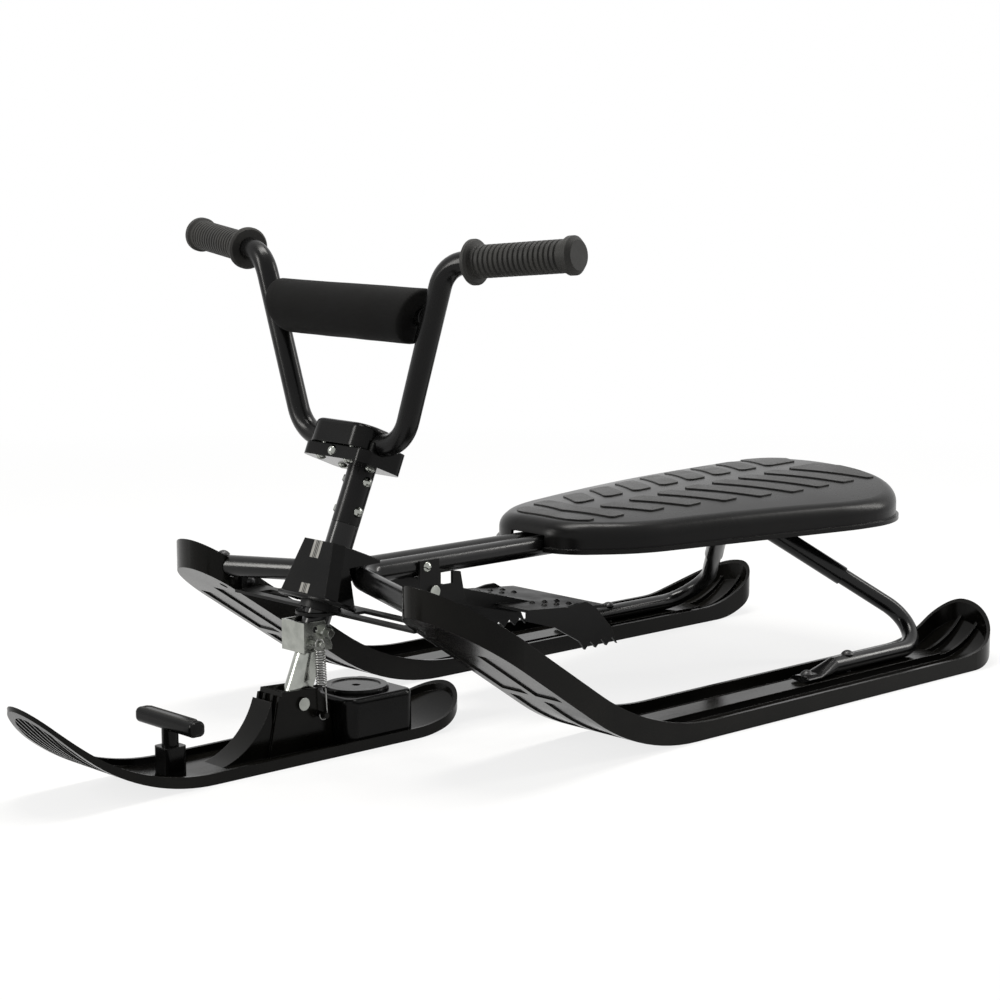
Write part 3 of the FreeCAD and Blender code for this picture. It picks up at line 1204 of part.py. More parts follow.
def make_reel():
    x = size("reel_x")
    half_x, half_y = size("reel_half_x"), size("reel_half_y")
    top, wall = size("reel_top_z"), size("reel_wall")
    low = size("front_floor") + size("fit_gap")
    body = box(x - half_x, x + half_x, -half_y, half_y, low, top)
    body = body.makeFillet(size("reel_corner"), upright_edges(body))
    rim = [edge for edge in body.Edges if edge.BoundBox.ZMin > top - size("safe_gap")]
    body = body.makeFillet(size("reel_top_round"), rim)
    hollow = box(x - half_x + wall, x + half_x - wall, -half_y + wall, half_y - wall, low - past, top - wall)
    hollow = hollow.makeFillet(size("reel_corner") - wall, upright_edges(hollow))
    mouth = Part.makeCylinder(size("reel_mouth_dia") / 2, far, Vector(x, 0, top - wall - past))
    port_at = Vector(x, 0, size("cord_port_z"))
    cord_port = rod(port_at, port_at + Vector(far, 0, 0), size("cord_port_dia") / 2)
    solid("reel_housing", body.cut(hollow).cut(mouth).cut(cord_port))
    place = Placement(Vector(x, 0, 0), Rotation())
    bore = "reel_axle_dia / 2 + fit_gap / 2"
    plug = "reel_mouth_dia / 2 - fit_gap"
    seat = "reel_top_z + fit_gap"
    lid = "reel_top_z + reel_cap_depth"
    turned("reel_cap", [(bore, "reel_top_z - reel_plug"), (plug, "reel_top_z - reel_plug"), (plug, seat),
                        ("reel_cap_dia / 2", seat), ("reel_cap_dia / 2", f"{lid} - reel_cap_bevel"),
                        ("reel_cap_dia / 2 - reel_cap_bevel", lid), ("reel_dish_dia / 2", lid),
                        ("reel_dish_dia / 2 - reel_dish", f"{lid} - reel_dish"), (bore, f"{lid} - reel_dish")], place)
    turned("reel_axle", [("0", "front_floor + fit_gap"), ("reel_axle_dia", "front_floor + fit_gap"),
                         ("reel_axle_dia", "front_floor + axle_foot"), ("reel_axle_dia / 2", "front_floor + axle_foot"),
                         ("reel_axle_dia / 2", "reel_top_z - axle_drop"), ("0", "reel_top_z - axle_drop")], place)
    rim = "drum_dia / 2"
    core = "drum_core_dia / 2"
    bore = "reel_axle_dia / 2 + running_gap"
    drum_top = "drum_low_z + drum_height"
    turned("reel_drum", [(bore, "drum_low_z"), (rim, "drum_low_z"), (rim, "drum_low_z + drum_flange"),
                         (core, "drum_low_z + drum_flange"), (core, f"{drum_top} - drum_flange"),
                         (rim, f"{drum_top} - drum_flange"), (rim, drum_top), (bore, drum_top)], place)


def make_tow_handle():
    x = size("handle_x")
    half_x, half_y = size("holder_half_x"), size("holder_half_y")
    stem_r = size("handle_stem_dia") / 2
    stem_low = Vector(x, 0, size("handle_stem_low_z"))
    holder = box(x - half_x, x + half_x, -half_y, half_y, -past, size("holder_top_z"))
    holder = holder.makeFillet(size("holder_round"), upright_edges(holder))
    holder = holder.common(band(front_base(size("front_floor") + size("fit_gap")), front_base(far), -far, far))
    guide_r = size("cord_guide_dia") / 2
    socket = rod(stem_low - upward * size("holder_floor"), stem_low + upward * far, stem_r + size("safe_gap"))
    side_port = rod(Vector(-far, 0, size("cord_guide_z")), Vector(x, 0, size("cord_guide_z")), guide_r)
    solid("handle_holder", holder.cut(socket).cut(hole(stem_low, upward, guide_r)).cut(side_port))
    z = size("handle_bar_z")
    deep, high = size("handle_depth") / 2, size("handle_height") / 2
    bar = box(x - deep, x + deep, -size("handle_half"), size("handle_half"), z - high, z + high)
    bar = bar.makeFillet(size("handle_round"), bar.Edges)
    stem = rod(stem_low, Vector(x, 0, z), stem_r)
    knot_hole = rod(stem_low - upward * past, Vector(x, 0, z), size("handle_bore_dia") / 2)
    solid("tow_handle", bar.fuse(stem).removeSplitter().cut(knot_hole))


# Springs: coils of arcs from a formula, swept as one unbroken wire.

def biarc(p0, t0, p1, t1):
    # two arcs joined smoothly, leaving p0 along t0 and reaching p1 along t1
    v = p1 - p0
    t = t0 + t1
    spread = 2 * (1 - t0.dot(t1))
    if spread < 1e-9:
        d = v.dot(v) / (4 * v.dot(t1))
    else:
        d = (-v.dot(t) + math.sqrt(v.dot(t) ** 2 + spread * v.dot(v))) / spread
    joint = (p0 + p1 + (t0 - t1) * d) * 0.5
    return [leaving_arc(p0, t0, joint), leaving_arc(joint, (joint - (p0 + t0 * d)).normalize(), p1)]


def leaving_arc(start, way, end):
    chord = end - start
    unit = Vector(chord).normalize()
    lean = way - unit * way.dot(unit)
    if lean.Length < 1e-6:
        return Part.LineSegment(start, end).toShape()
    rise = chord.Length / 2 * math.tan(way.getAngle(chord) / 2)
    return Part.Arc(start, start + chord * 0.5 + lean.normalize() * rise, end).toShape()


def coil(radius, pitch, turns):
    # half-turn biarcs along the local Z axis
    climb = pitch / (2 * math.pi)
    steps = 2 * turns

    def spot(angle):
        return Vector(radius * math.cos(angle), radius * math.sin(angle), climb * angle)

    def way(angle):
        return Vector(-radius * math.sin(angle), radius * math.cos(angle), climb).normalize()

    edges = []
    for i in range(steps):
        a, b = math.pi * i, math.pi * (i + 1)
        edges += biarc(spot(a), way(a), spot(b), way(b))
    return edges, (spot(0), way(0)), (spot(steps * math.pi), way(steps * math.pi))


def least_gap(path, wire):
    # smallest clear distance between parts of the wire that aren't neighbours along it
    step = wire / 2
    points = path.discretize(Distance=step)
    apart = int(math.ceil(math.pi * wire / step))
    least = min((points[i] - points[j]).Length for i in range(len(points))
                for j in range(i + apart, len(points)))
    return least - wire


def spring_eyes():
    # where the ski spring hooks on: the stay on the ski and the stay on the fork
    y = size("spring_y")
    return Vector(size("stay_x"), y, size("stay_z")), Vector(size("fork_stay_x"), y, fork_stay_z())


def make_ski_spring():
    wire = size("spring_wire")
    radius = (size("spring_dia") - wire) / 2
    turns = int(size("spring_turns"))
    edges, (low, low_way), (high, high_way) = coil(radius, size("spring_pitch"), turns)
    top = size("spring_pitch") * turns
    side = Vector(0, radius, top + radius + wire)
    over = side - across * (2 * radius)
    head = biarc(high, high_way, side, upward)
    head.append(Part.Arc(side, side + Vector(0, -radius, radius), over).toShape())
    head.append(Part.LineSegment(over, over - upward * wire).toShape())
    eye_low, eye_high = spring_eyes()
    hook_r = size("stay_dia") / 2 + wire
    drop = Vector(0, hook_r, -radius - wire)
    foot = Vector(0, hook_r, side.z - (eye_high - eye_low).Length)
    under = foot - across * (2 * hook_r)
    tail = [Part.LineSegment(under + upward * wire, under).toShape(),
            Part.Arc(under, foot - Vector(0, hook_r, hook_r), foot).toShape(),
            Part.LineSegment(foot, drop).toShape()] + biarc(drop, upward, low, low_way)
    path = Part.Wire(tail + edges + head)
    print("ski spring least self gap", round(least_gap(path, wire), 2))
    up = (eye_high - eye_low).normalize()
    out = up.cross(across)
    turn = FreeCAD.Matrix(across.x, out.x, up.x, 0, across.y, out.y, up.y, 0, across.z, out.z, up.z, 0, 0, 0, 0, 1)
    place = Placement(turn)
    place.Base = eye_high - place.Rotation.multVec(Vector(0, 0, side.z))
    solid("ski_spring", swept(path, wire / 2), place)


def make_brake_spring():
    wire = size("brake_spring_wire")
    radius = size("brake_pin_dia") / 2 + wire
    turns = int(size("brake_spring_turns"))
    edges, (low, low_way), (high, high_way) = coil(radius, size("brake_spring_pitch"), turns)
    front = low - low_way * size("brake_leg_front")
    back = high + high_way * size("brake_leg_back")
    path = Part.Wire([Part.LineSegment(front, low).toShape()] + edges + [Part.LineSegment(high, back).toShape()])
    print("brake spring least self gap", round(least_gap(path, wire), 2))
    middle = size("brake_spring_pitch") * turns / 2 + size("brake_spring_shift")
    lay = Rotation(across, -size("brake_leg_down")).multiply(Rotation(Vector(1, 0, 0), -90))
    lay = lay.multiply(Rotation(upward, 90))
    place = Placement(brake_pin_spot() - lay.multVec(Vector(0, 0, middle)), lay)
    solid("brake_spring", swept(path, wire / 2), place)


make_column()
make_head()
make_column_bolts()
make_head_cover()
make_fork()
make_handlebar()
make_pad()
make_grips()
make_clamp()
make_frame()
make_gusset()
make_strap()
make_rear_skis()
make_ski_bolts()
make_seat()
make_treads()
make_seat_mounts()
make_brake_bracket()
make_brake_plate()
make_front_ski()
make_reel()
make_tow_handle()
make_ski_spring()
make_brake_spring()

# Every piece is checked before any file is written.
doc.recompute()
for item in doc.Objects:
    if "Invalid" in item.State or "Error" in item.State:
        raise RuntimeError(f"{item.Label}: {item.State}")
for piece in pieces:
    shape = piece.Shape
    if shape.isNull() or not shape.isValid() or not shape.Solids:
        raise RuntimeError(f"{piece.Label}: not a valid solid")
os.makedirs("parts", exist_ok=True)
for piece in pieces:
    piece.Shape.exportStep(f"parts/{piece.Label}.step")
print(len(pieces), "pieces written")
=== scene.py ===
import json
import math

import bmesh
import bpy
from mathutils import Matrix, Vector, noise


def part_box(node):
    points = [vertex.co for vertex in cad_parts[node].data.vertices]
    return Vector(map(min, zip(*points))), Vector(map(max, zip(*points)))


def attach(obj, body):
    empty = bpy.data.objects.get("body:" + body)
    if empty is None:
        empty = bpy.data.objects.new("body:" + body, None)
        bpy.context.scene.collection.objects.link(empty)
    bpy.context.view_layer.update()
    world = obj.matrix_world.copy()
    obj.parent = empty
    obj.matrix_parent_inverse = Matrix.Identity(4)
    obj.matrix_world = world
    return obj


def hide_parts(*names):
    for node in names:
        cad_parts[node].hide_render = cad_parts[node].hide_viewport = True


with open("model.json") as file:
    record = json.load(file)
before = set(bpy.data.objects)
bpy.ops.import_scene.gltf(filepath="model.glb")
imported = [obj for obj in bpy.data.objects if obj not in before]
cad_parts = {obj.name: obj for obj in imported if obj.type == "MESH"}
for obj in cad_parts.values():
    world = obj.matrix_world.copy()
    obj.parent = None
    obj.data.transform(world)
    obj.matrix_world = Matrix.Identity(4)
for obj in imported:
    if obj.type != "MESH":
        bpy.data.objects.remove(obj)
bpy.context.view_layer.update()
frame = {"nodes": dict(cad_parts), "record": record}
nodes = frame["nodes"]
print("frame loaded,", len(nodes), "nodes")


# camera at the photograph's viewing angle
cameraSet = {
    "place": (1.6844, 1.8116, 0.6079),
    "azimuth": 47.0,      # from the sled's nose towards its left side
    "elevation": 8.907,
    "lens": 86.4,
    "sensor": 36.0,
    "nearest": 0.05,
    "farthest": 60.0,
}


def makeCamera():
    data = bpy.data.cameras.new("photoCamera")
    data.lens = cameraSet["lens"]
    data.sensor_width = cameraSet["sensor"]
    data.clip_start = cameraSet["nearest"]
    data.clip_end = cameraSet["farthest"]
    camera = bpy.data.objects.new("photoCamera", data)
    bpy.context.collection.objects.link(camera)
    azimuth = math.radians(cameraSet["azimuth"])
    elevation = math.radians(cameraSet["elevation"])
    level = math.cos(elevation)
    away = Vector((level * math.cos(azimuth), level * math.sin(azimuth), math.sin(elevation)))
    camera.location = cameraSet["place"]
    camera.rotation_euler = away.to_track_quat("Z", "Y").to_euler()
    bpy.context.scene.camera = camera


# helpers for shader nodes
def addNode(tree, kind, **settings):
    node = tree.nodes.new("ShaderNode" + kind)
    for name, value in settings.items():
        setattr(node, name, value)
    return node


def plug(tree, value, socket):
    if isinstance(value, bpy.types.NodeSocket):
        tree.links.new(value, socket)
    else:
        socket.default_value = value


def mathNode(tree, operation, first, second=0.0, third=0.0, clamp=False):
    node = addNode(tree, "Math", operation=operation, use_clamp=clamp)
    for value, socket in zip((first, second, third), node.inputs):
        plug(tree, value, socket)
    return node.outputs[0]


def vectorNode(tree, operation, first, second=(0, 0, 0)):
    node = addNode(tree, "VectorMath", operation=operation)
    plug(tree, first, node.inputs[0])
    plug(tree, second, node.inputs[1])
    return node.outputs["Value" if operation in ("DOT_PRODUCT", "LENGTH") else "Vector"]


def spread(tree, value, low, high, fromLow=0.0, fromHigh=1.0):
    node = addNode(tree, "MapRange")
    for name, x in (("Value", value), ("From Min", fromLow), ("From Max", fromHigh),
                    ("To Min", low), ("To Max", high)):
        plug(tree, x, node.inputs[name])
    return node.outputs["Result"]


def blendColor(tree, factor, first, second):
    node = addNode(tree, "Mix", data_type="RGBA")
    plug(tree, factor, node.inputs["Factor"])
    plug(tree, first, node.inputs["A"])
    plug(tree, second, node.inputs["B"])
    return node.outputs["Result"]


def noiseNode(tree, vector, scale, detail):
    node = addNode(tree, "TexNoise")
    plug(tree, vector, node.inputs["Vector"])
    plug(tree, scale, node.inputs["Scale"])
    node.inputs["Detail"].default_value = detail
    return node.outputs["Fac"]


def makeGroup(name, inputs, outputs):
    group = bpy.data.node_groups.new(name, "ShaderNodeTree")
    for label, kind, value in inputs:
        socket = group.interface.new_socket(name=label, in_out="INPUT", socket_type="NodeSocket" + kind)
        if value is not None:
            socket.default_value = value
    for label in outputs:
        group.interface.new_socket(name=label, in_out="OUTPUT", socket_type="NodeSocketFloat")
    start = group.nodes.new("NodeGroupInput")
    end = group.nodes.new("NodeGroupOutput")
    return group, start.outputs, end.inputs


def placeGroup(tree, group, **values):
    node = tree.nodes.new("ShaderNodeGroup")
    node.node_tree = group
    for name, value in values.items():
        plug(tree, value, node.inputs[name])
    return node.outputs


# slow shade drift and fine skin of moulded and painted surfaces
grainSet = {"drift": 18.0, "driftDetail": 3.0, "skin": 1400.0, "skinDetail": 2.0}


def makeMouldGrain():
    group, given, out = makeGroup("mouldGrain", [
        ("Vector", "Vector", None), ("Drift", "Float", grainSet["drift"]),
        ("Skin", "Float", grainSet["skin"])], ["Drift", "Skin"])
    drift = noiseNode(group, given["Vector"], given["Drift"], grainSet["driftDetail"])
    skin = noiseNode(group, given["Vector"], given["Skin"], grainSet["skinDetail"])
    group.links.new(drift, out["Drift"])
    group.links.new(skin, out["Skin"])
    return group


# bright rubbed lines where the rounded normal leaves the flat one
wearSet = {
    "samples": 4, "sharp": 0.86, "level": 0.995, "breakup": 220.0, "detail": 4.0, "broken": (0.38, 0.62),
}


def makeEdgeWear():
    group, given, out = makeGroup("edgeWear", [
        ("Vector", "Vector", None), ("Rounded", "Vector", None), ("Flat", "Vector", None),
        ("Breakup", "Float", wearSet["breakup"])], ["Wear"])
    turn = vectorNode(group, "DOT_PRODUCT", given["Rounded"], given["Flat"])
    edge = spread(group, turn, 1.0, 0.0, wearSet["sharp"], wearSet["level"])
    patches = noiseNode(group, given["Vector"], given["Breakup"], wearSet["detail"])
    broken = spread(group, patches, 0.0, 1.0, *wearSet["broken"])
    group.links.new(mathNode(group, "MULTIPLY", edge, broken, clamp=True), out["Wear"])
    return group


# fine rubbed lines, most of them along the sled
scratchSet = {"along": 9.0, "across": 900.0, "detail": 3.0, "lines": (0.6, 0.75), "rougher": 0.3}


def makeScratches():
    group, given, out = makeGroup("scratches", [
        ("Vector", "Vector", None), ("Along", "Float", scratchSet["along"]),
        ("Across", "Float", scratchSet["across"])], ["Lines"])
    stretch = addNode(group, "CombineXYZ")
    for name, axis in (("Along", "X"), ("Across", "Y"), ("Across", "Z")):
        group.links.new(given[name], stretch.inputs[axis])
    run = vectorNode(group, "MULTIPLY", given["Vector"], stretch.outputs[0])
    streaks = noiseNode(group, run, 1.0, scratchSet["detail"])
    lines = spread(group, streaks, 0.0, 1.0, *scratchSet["lines"])
    group.links.new(lines, out["Lines"])
    return group


# pale specks, more of them on faces that look up
dustSet = {
    "specks": 420.0, "speck": (0.03, 0.12), "leastUp": 0.1, "patch": 14.0, "patchDetail": 3.0,
    "patches": (0.42, 0.68), "tint": (0.16, 0.155, 0.145),
}


def makeDust():
    group, given, out = makeGroup("dust", [
        ("Vector", "Vector", None), ("Normal", "Vector", None),
        ("Specks", "Float", dustSet["specks"])], ["Dust"])
    cells = addNode(group, "TexVoronoi", feature="F1")
    group.links.new(given["Vector"], cells.inputs["Vector"])
    group.links.new(given["Specks"], cells.inputs["Scale"])
    speck = spread(group, cells.outputs["Distance"], 1.0, 0.0, *dustSet["speck"])
    facing = vectorNode(group, "DOT_PRODUCT", given["Normal"], (0, 0, 1))
    up = spread(group, facing, dustSet["leastUp"], 1.0)
    patch = noiseNode(group, given["Vector"], dustSet["patch"], dustSet["patchDetail"])
    patch = spread(group, patch, 0.0, 1.0, *dustSet["patches"])
    amount = mathNode(group, "MULTIPLY", mathNode(group, "MULTIPLY", speck, up), patch, clamp=True)
    group.links.new(amount, out["Dust"])
    return group


effects = {
    "grain": makeMouldGrain(),
    "wear": makeEdgeWear(),
    "scratches": makeScratches(),
    "dust": makeDust(),
}
print("surface effects ready")


# finishes: one per material slot of the record, and pressed_steel for the pressings
finishLooks = {
    "frame_paint": {
        "dark": (0.0022, 0.0022, 0.0023), "light": (0.0045, 0.0045, 0.0045), "rough": (0.17, 0.26),
        "specular": 0.26, "drift": 30, "skin": 650, "depth": 0.00012, "bump": 0.2,
        "edge": 0.0006, "wear": 0.25, "wearTint": (0.06, 0.06, 0.058), "dust": 0.2},
    "bar_paint": {
        "dark": (0.0022, 0.0022, 0.0023), "light": (0.0045, 0.0045, 0.0045), "rough": (0.2, 0.29),
        "specular": 0.15, "drift": 26, "skin": 600, "depth": 0.00012, "bump": 0.2,
        "edge": 0.0005, "wear": 0.2, "wearTint": (0.06, 0.06, 0.058), "dust": 0.15},
    "ski_plastic": {
        "dark": (0.0022, 0.0021, 0.0018), "light": (0.0054, 0.0051, 0.0042), "rough": (0.12, 0.21),
        "specular": 0.09, "drift": 12, "skin": 1500, "depth": 0.0001, "bump": 0.22,
        "edge": 0.0009, "wear": 0.25, "wearTint": (0.045, 0.044, 0.041), "dust": 0.3, "scratches": 0.35},
    "seat_plastic": {
        "dark": (0.0024, 0.0023, 0.0023), "light": (0.0045, 0.0043, 0.0042), "rough": (0.24, 0.33),
        "specular": 0.13, "drift": 9, "skin": 900, "depth": 0.00008, "bump": 0.18,
        "edge": 0.0012, "wear": 0.12, "wearTint": (0.04, 0.039, 0.038), "dust": 0.3},
    "tread": {
        "dark": (0.0045, 0.0044, 0.0041), "light": (0.0095, 0.0092, 0.0086), "rough": (0.36, 0.5),
        "specular": 0.34, "drift": 22, "skin": 1900, "depth": 0.0004, "bump": 0.6,
        "edge": 0.0006, "wear": 0.3, "wearTint": (0.05, 0.049, 0.046), "dust": 0.35},
    "cover_plastic": {
        "dark": (0.0025, 0.0025, 0.0025), "light": (0.005, 0.005, 0.0049), "rough": (0.1, 0.18),
        "specular": 0.1, "drift": 24, "skin": 1500, "depth": 0.0001, "bump": 0.22,
        "edge": 0.0017, "wear": 0.3, "wearTint": (0.055, 0.054, 0.052), "dust": 0.25},
    "grip_rubber": {
        "dark": (0.012, 0.0117, 0.011), "light": (0.022, 0.0215, 0.0195), "rough": (0.5, 0.66),
        "specular": 0.22, "drift": 40, "skin": 2400, "depth": 0.00015, "bump": 0.5,
        "edge": 0.0005, "wear": 0.35, "wearTint": (0.05, 0.049, 0.045), "dust": 0.3},
    "pressed_steel": {
        "dark": (0.0026, 0.0026, 0.0026), "light": (0.0055, 0.0055, 0.0054), "rough": (0.34, 0.46),
        "specular": 0.14, "drift": 34, "skin": 900, "depth": 0.0001, "bump": 0.25,
        "edge": 0.0004, "wear": 0.45, "wearTint": (0.1, 0.1, 0.097), "dust": 0.3, "scratches": 0.25},
    "bush_plastic": {
        "dark": (0.005, 0.005, 0.005), "light": (0.009, 0.009, 0.009), "rough": (0.4, 0.55),
        "specular": 0.25, "drift": 40, "skin": 1600, "depth": 0.0001, "bump": 0.3,
        "edge": 0.0004, "wear": 0.2, "wearTint": (0.05, 0.05, 0.049), "dust": 0.1},
    "black_bolt": {
        "dark": (0.02, 0.02, 0.0205), "light": (0.045, 0.045, 0.046), "rough": (0.28, 0.45),
        "specular": 0.4, "metallic": 0.7, "drift": 90, "skin": 1800, "depth": 0.0001, "bump": 0.25,
        "edge": 0.0004, "wear": 0.6, "wearTint": (0.32, 0.32, 0.31), "dust": 0.1},
    "zinc": {
        "dark": (0.25, 0.26, 0.24), "light": (0.38, 0.39, 0.36), "rough": (0.12, 0.22),
        "specular": 0.5, "metallic": 1.0, "drift": 70, "skin": 2000, "depth": 0.00006, "bump": 0.25,
        "edge": 0.0005, "wear": 0.5, "wearTint": (0.72, 0.72, 0.7), "dust": 0.1, "scratches": 0.3},
    "spring_steel": {
        "dark": (0.17, 0.17, 0.165), "light": (0.36, 0.36, 0.35), "rough": (0.2, 0.34),
        "specular": 0.5, "metallic": 1.0, "drift": 120, "skin": 2200, "depth": 0.00005, "bump": 0.2,
        "edge": 0.0002, "wear": 0.2, "wearTint": (0.6, 0.6, 0.58), "dust": 0.05},
    "foam": {
        "dark": (0.0016, 0.0016, 0.0016), "light": (0.0042, 0.0041, 0.0039), "rough": (0.66, 0.82),
        "specular": 0.07, "drift": 20, "skin": 1900, "depth": 0.0005, "bump": 0.5,
        "edge": 0.0003, "wear": 0.0, "wearTint": (0.05, 0.05, 0.05), "dust": 0.14, "sheen": 0.01},
}
driftSpan = (0.3, 0.7)   # where the drift's noise mostly lies


def opaque(color):
    return (*color, 1.0)


def makeFinish(name, look):
    material = bpy.data.materials.new(name)
    material.use_nodes = True
    tree = material.node_tree
    shader = tree.nodes["Principled BSDF"]
    where = addNode(tree, "TexCoord").outputs["Object"]
    flat = addNode(tree, "NewGeometry").outputs["Normal"]
    rounded = addNode(tree, "Bevel", samples=wearSet["samples"])
    rounded.inputs["Radius"].default_value = look["edge"]
    grain = placeGroup(tree, effects["grain"], Vector=where, Drift=look["drift"], Skin=look["skin"])
    wear = placeGroup(tree, effects["wear"], Vector=where, Rounded=rounded.outputs[0], Flat=flat)["Wear"]
    dust = placeGroup(tree, effects["dust"], Vector=where, Normal=flat)["Dust"]
    drift = spread(tree, grain["Drift"], 0.0, 1.0, *driftSpan)
    worn = mathNode(tree, "MULTIPLY", wear, look["wear"])
    dusty = mathNode(tree, "MULTIPLY", dust, look["dust"])
    color = blendColor(tree, drift, opaque(look["dark"]), opaque(look["light"]))
    color = blendColor(tree, worn, color, opaque(look["wearTint"]))
    color = blendColor(tree, dusty, color, opaque(dustSet["tint"]))
    rough = spread(tree, grain["Drift"], *look["rough"], *driftSpan)
    height = grain["Skin"]
    if "scratches" in look:
        lines = placeGroup(tree, effects["scratches"], Vector=where)["Lines"]
        rough = mathNode(tree, "MULTIPLY_ADD", lines, look["scratches"] * scratchSet["rougher"], rough)
        height = mathNode(tree, "MULTIPLY_ADD", lines, -look["scratches"], height)
    bump = addNode(tree, "Bump")
    bump.inputs["Strength"].default_value = look["bump"]
    bump.inputs["Distance"].default_value = look["depth"]
    plug(tree, height, bump.inputs["Height"])
    plug(tree, rounded.outputs[0], bump.inputs["Normal"])
    plug(tree, color, shader.inputs["Base Color"])
    plug(tree, rough, shader.inputs["Roughness"])
    plug(tree, bump.outputs[0], shader.inputs["Normal"])
    shader.inputs["Specular IOR Level"].default_value = look["specular"]
    shader.inputs["Metallic"].default_value = look.get("metallic", 0.0)
    shader.inputs["Sheen Weight"].default_value = look.get("sheen", 0.0)
    return material


finishes = {name: makeFinish(name + "Finish", look) for name, look in finishLooks.items()}


def wearFinish(piece, material):
    if not piece.material_slots:
        piece.data.materials.append(material)
    for slot in piece.material_slots:
        slot.material = material


# nodes whose finish isn't their slot's own
nodeFinishes = {
    "brake_plate": "pressed_steel",
    "brake_bracket": "pressed_steel",
    "front_cross_member": "pressed_steel",
    "seat_bracket_front": "pressed_steel",
    "seat_bracket_rear": "pressed_steel",
    "tow_handle": "cover_plastic",
}


def dressNodes():
    for part in frame["record"]["subparts"]:
        node = part["node"]
        wearFinish(nodes[node], finishes[nodeFinishes.get(node, part["material_slot"])])


dressNodes()
print(len(finishes), "finishes made and put on the nodes")


# grey stripes on the head cover
stripeSet = {
    # place across the cover, half width
    "bands": ((-0.0046, 0.0019), (-0.0012, 0.0005), (0.0012, 0.0005), (0.0046, 0.0019)),
    "soft": 0.0002,
    "upper": 0.1895, "lower": 0.1655, "rim": 0.1565,   # heights where they start and stop
    "tint": (0.27, 0.265, 0.25), "facing": (0.55, 0.65),
}


def stripeHeadCover():
    material = finishes["cover_plastic"].copy()
    material.name = "stripedCoverFinish"
    tree = material.node_tree
    shader = tree.nodes["Principled BSDF"]
    spot = addNode(tree, "SeparateXYZ")
    tree.links.new(addNode(tree, "TexCoord").outputs["Object"], spot.inputs[0])
    soft = stripeSet["soft"]
    mask = 0.0
    for offset, half in stripeSet["bands"]:
        reach = mathNode(tree, "ABSOLUTE", mathNode(tree, "SUBTRACT", spot.outputs["Y"], offset))
        mask = mathNode(tree, "MAXIMUM", spread(tree, reach, 1.0, 0.0, half - soft, half + soft), mask)
    upper, lower, rim = stripeSet["upper"], stripeSet["lower"], stripeSet["rim"]
    height = spot.outputs["Z"]
    above = spread(tree, height, 0.0, 1.0, upper - soft, upper + soft)
    below = spread(tree, height, 1.0, 0.0, lower - soft, lower + soft)
    inside = spread(tree, height, 0.0, 1.0, rim - soft, rim + soft)
    shown = mathNode(tree, "MULTIPLY", mathNode(tree, "ADD", above, below), inside)
    mask = mathNode(tree, "MULTIPLY", mask, shown)
    flat = addNode(tree, "NewGeometry").outputs["Normal"]
    ahead = vectorNode(tree, "DOT_PRODUCT", flat, (1, 0, 0))
    mask = mathNode(tree, "MULTIPLY", mask, spread(tree, ahead, 0.0, 1.0, *stripeSet["facing"]))
    base = shader.inputs["Base Color"]
    color = blendColor(tree, mask, base.links[0].from_socket, opaque(stripeSet["tint"]))
    tree.links.new(color, base)
    wearFinish(nodes["head_cover"], material)


stripeHeadCover()
print("head cover striped")


# foam pad on the crossbar
padSet = {
    "halfLength": 0.103, "endLean": 0.3575, "bore": 0.0083, "slitHalf": 0.0008,
    "around": 72, "layers": 4, "rings": 26, "endRound": 0.005, "endSegments": 4, "outer": 0.99,
    "swell": 0.0007, "swellScale": (30, 22, 30), "fill": 0.9, "sameSpot": 1e-6,
}


def finishMesh(name, mesh, material, smooth=True):
    data = bpy.data.meshes.new(name)
    mesh.to_mesh(data)
    mesh.free()
    for face in data.polygons:
        face.use_smooth = smooth
    piece = bpy.data.objects.new(name, data)
    bpy.context.collection.objects.link(piece)
    wearFinish(piece, material)
    return piece


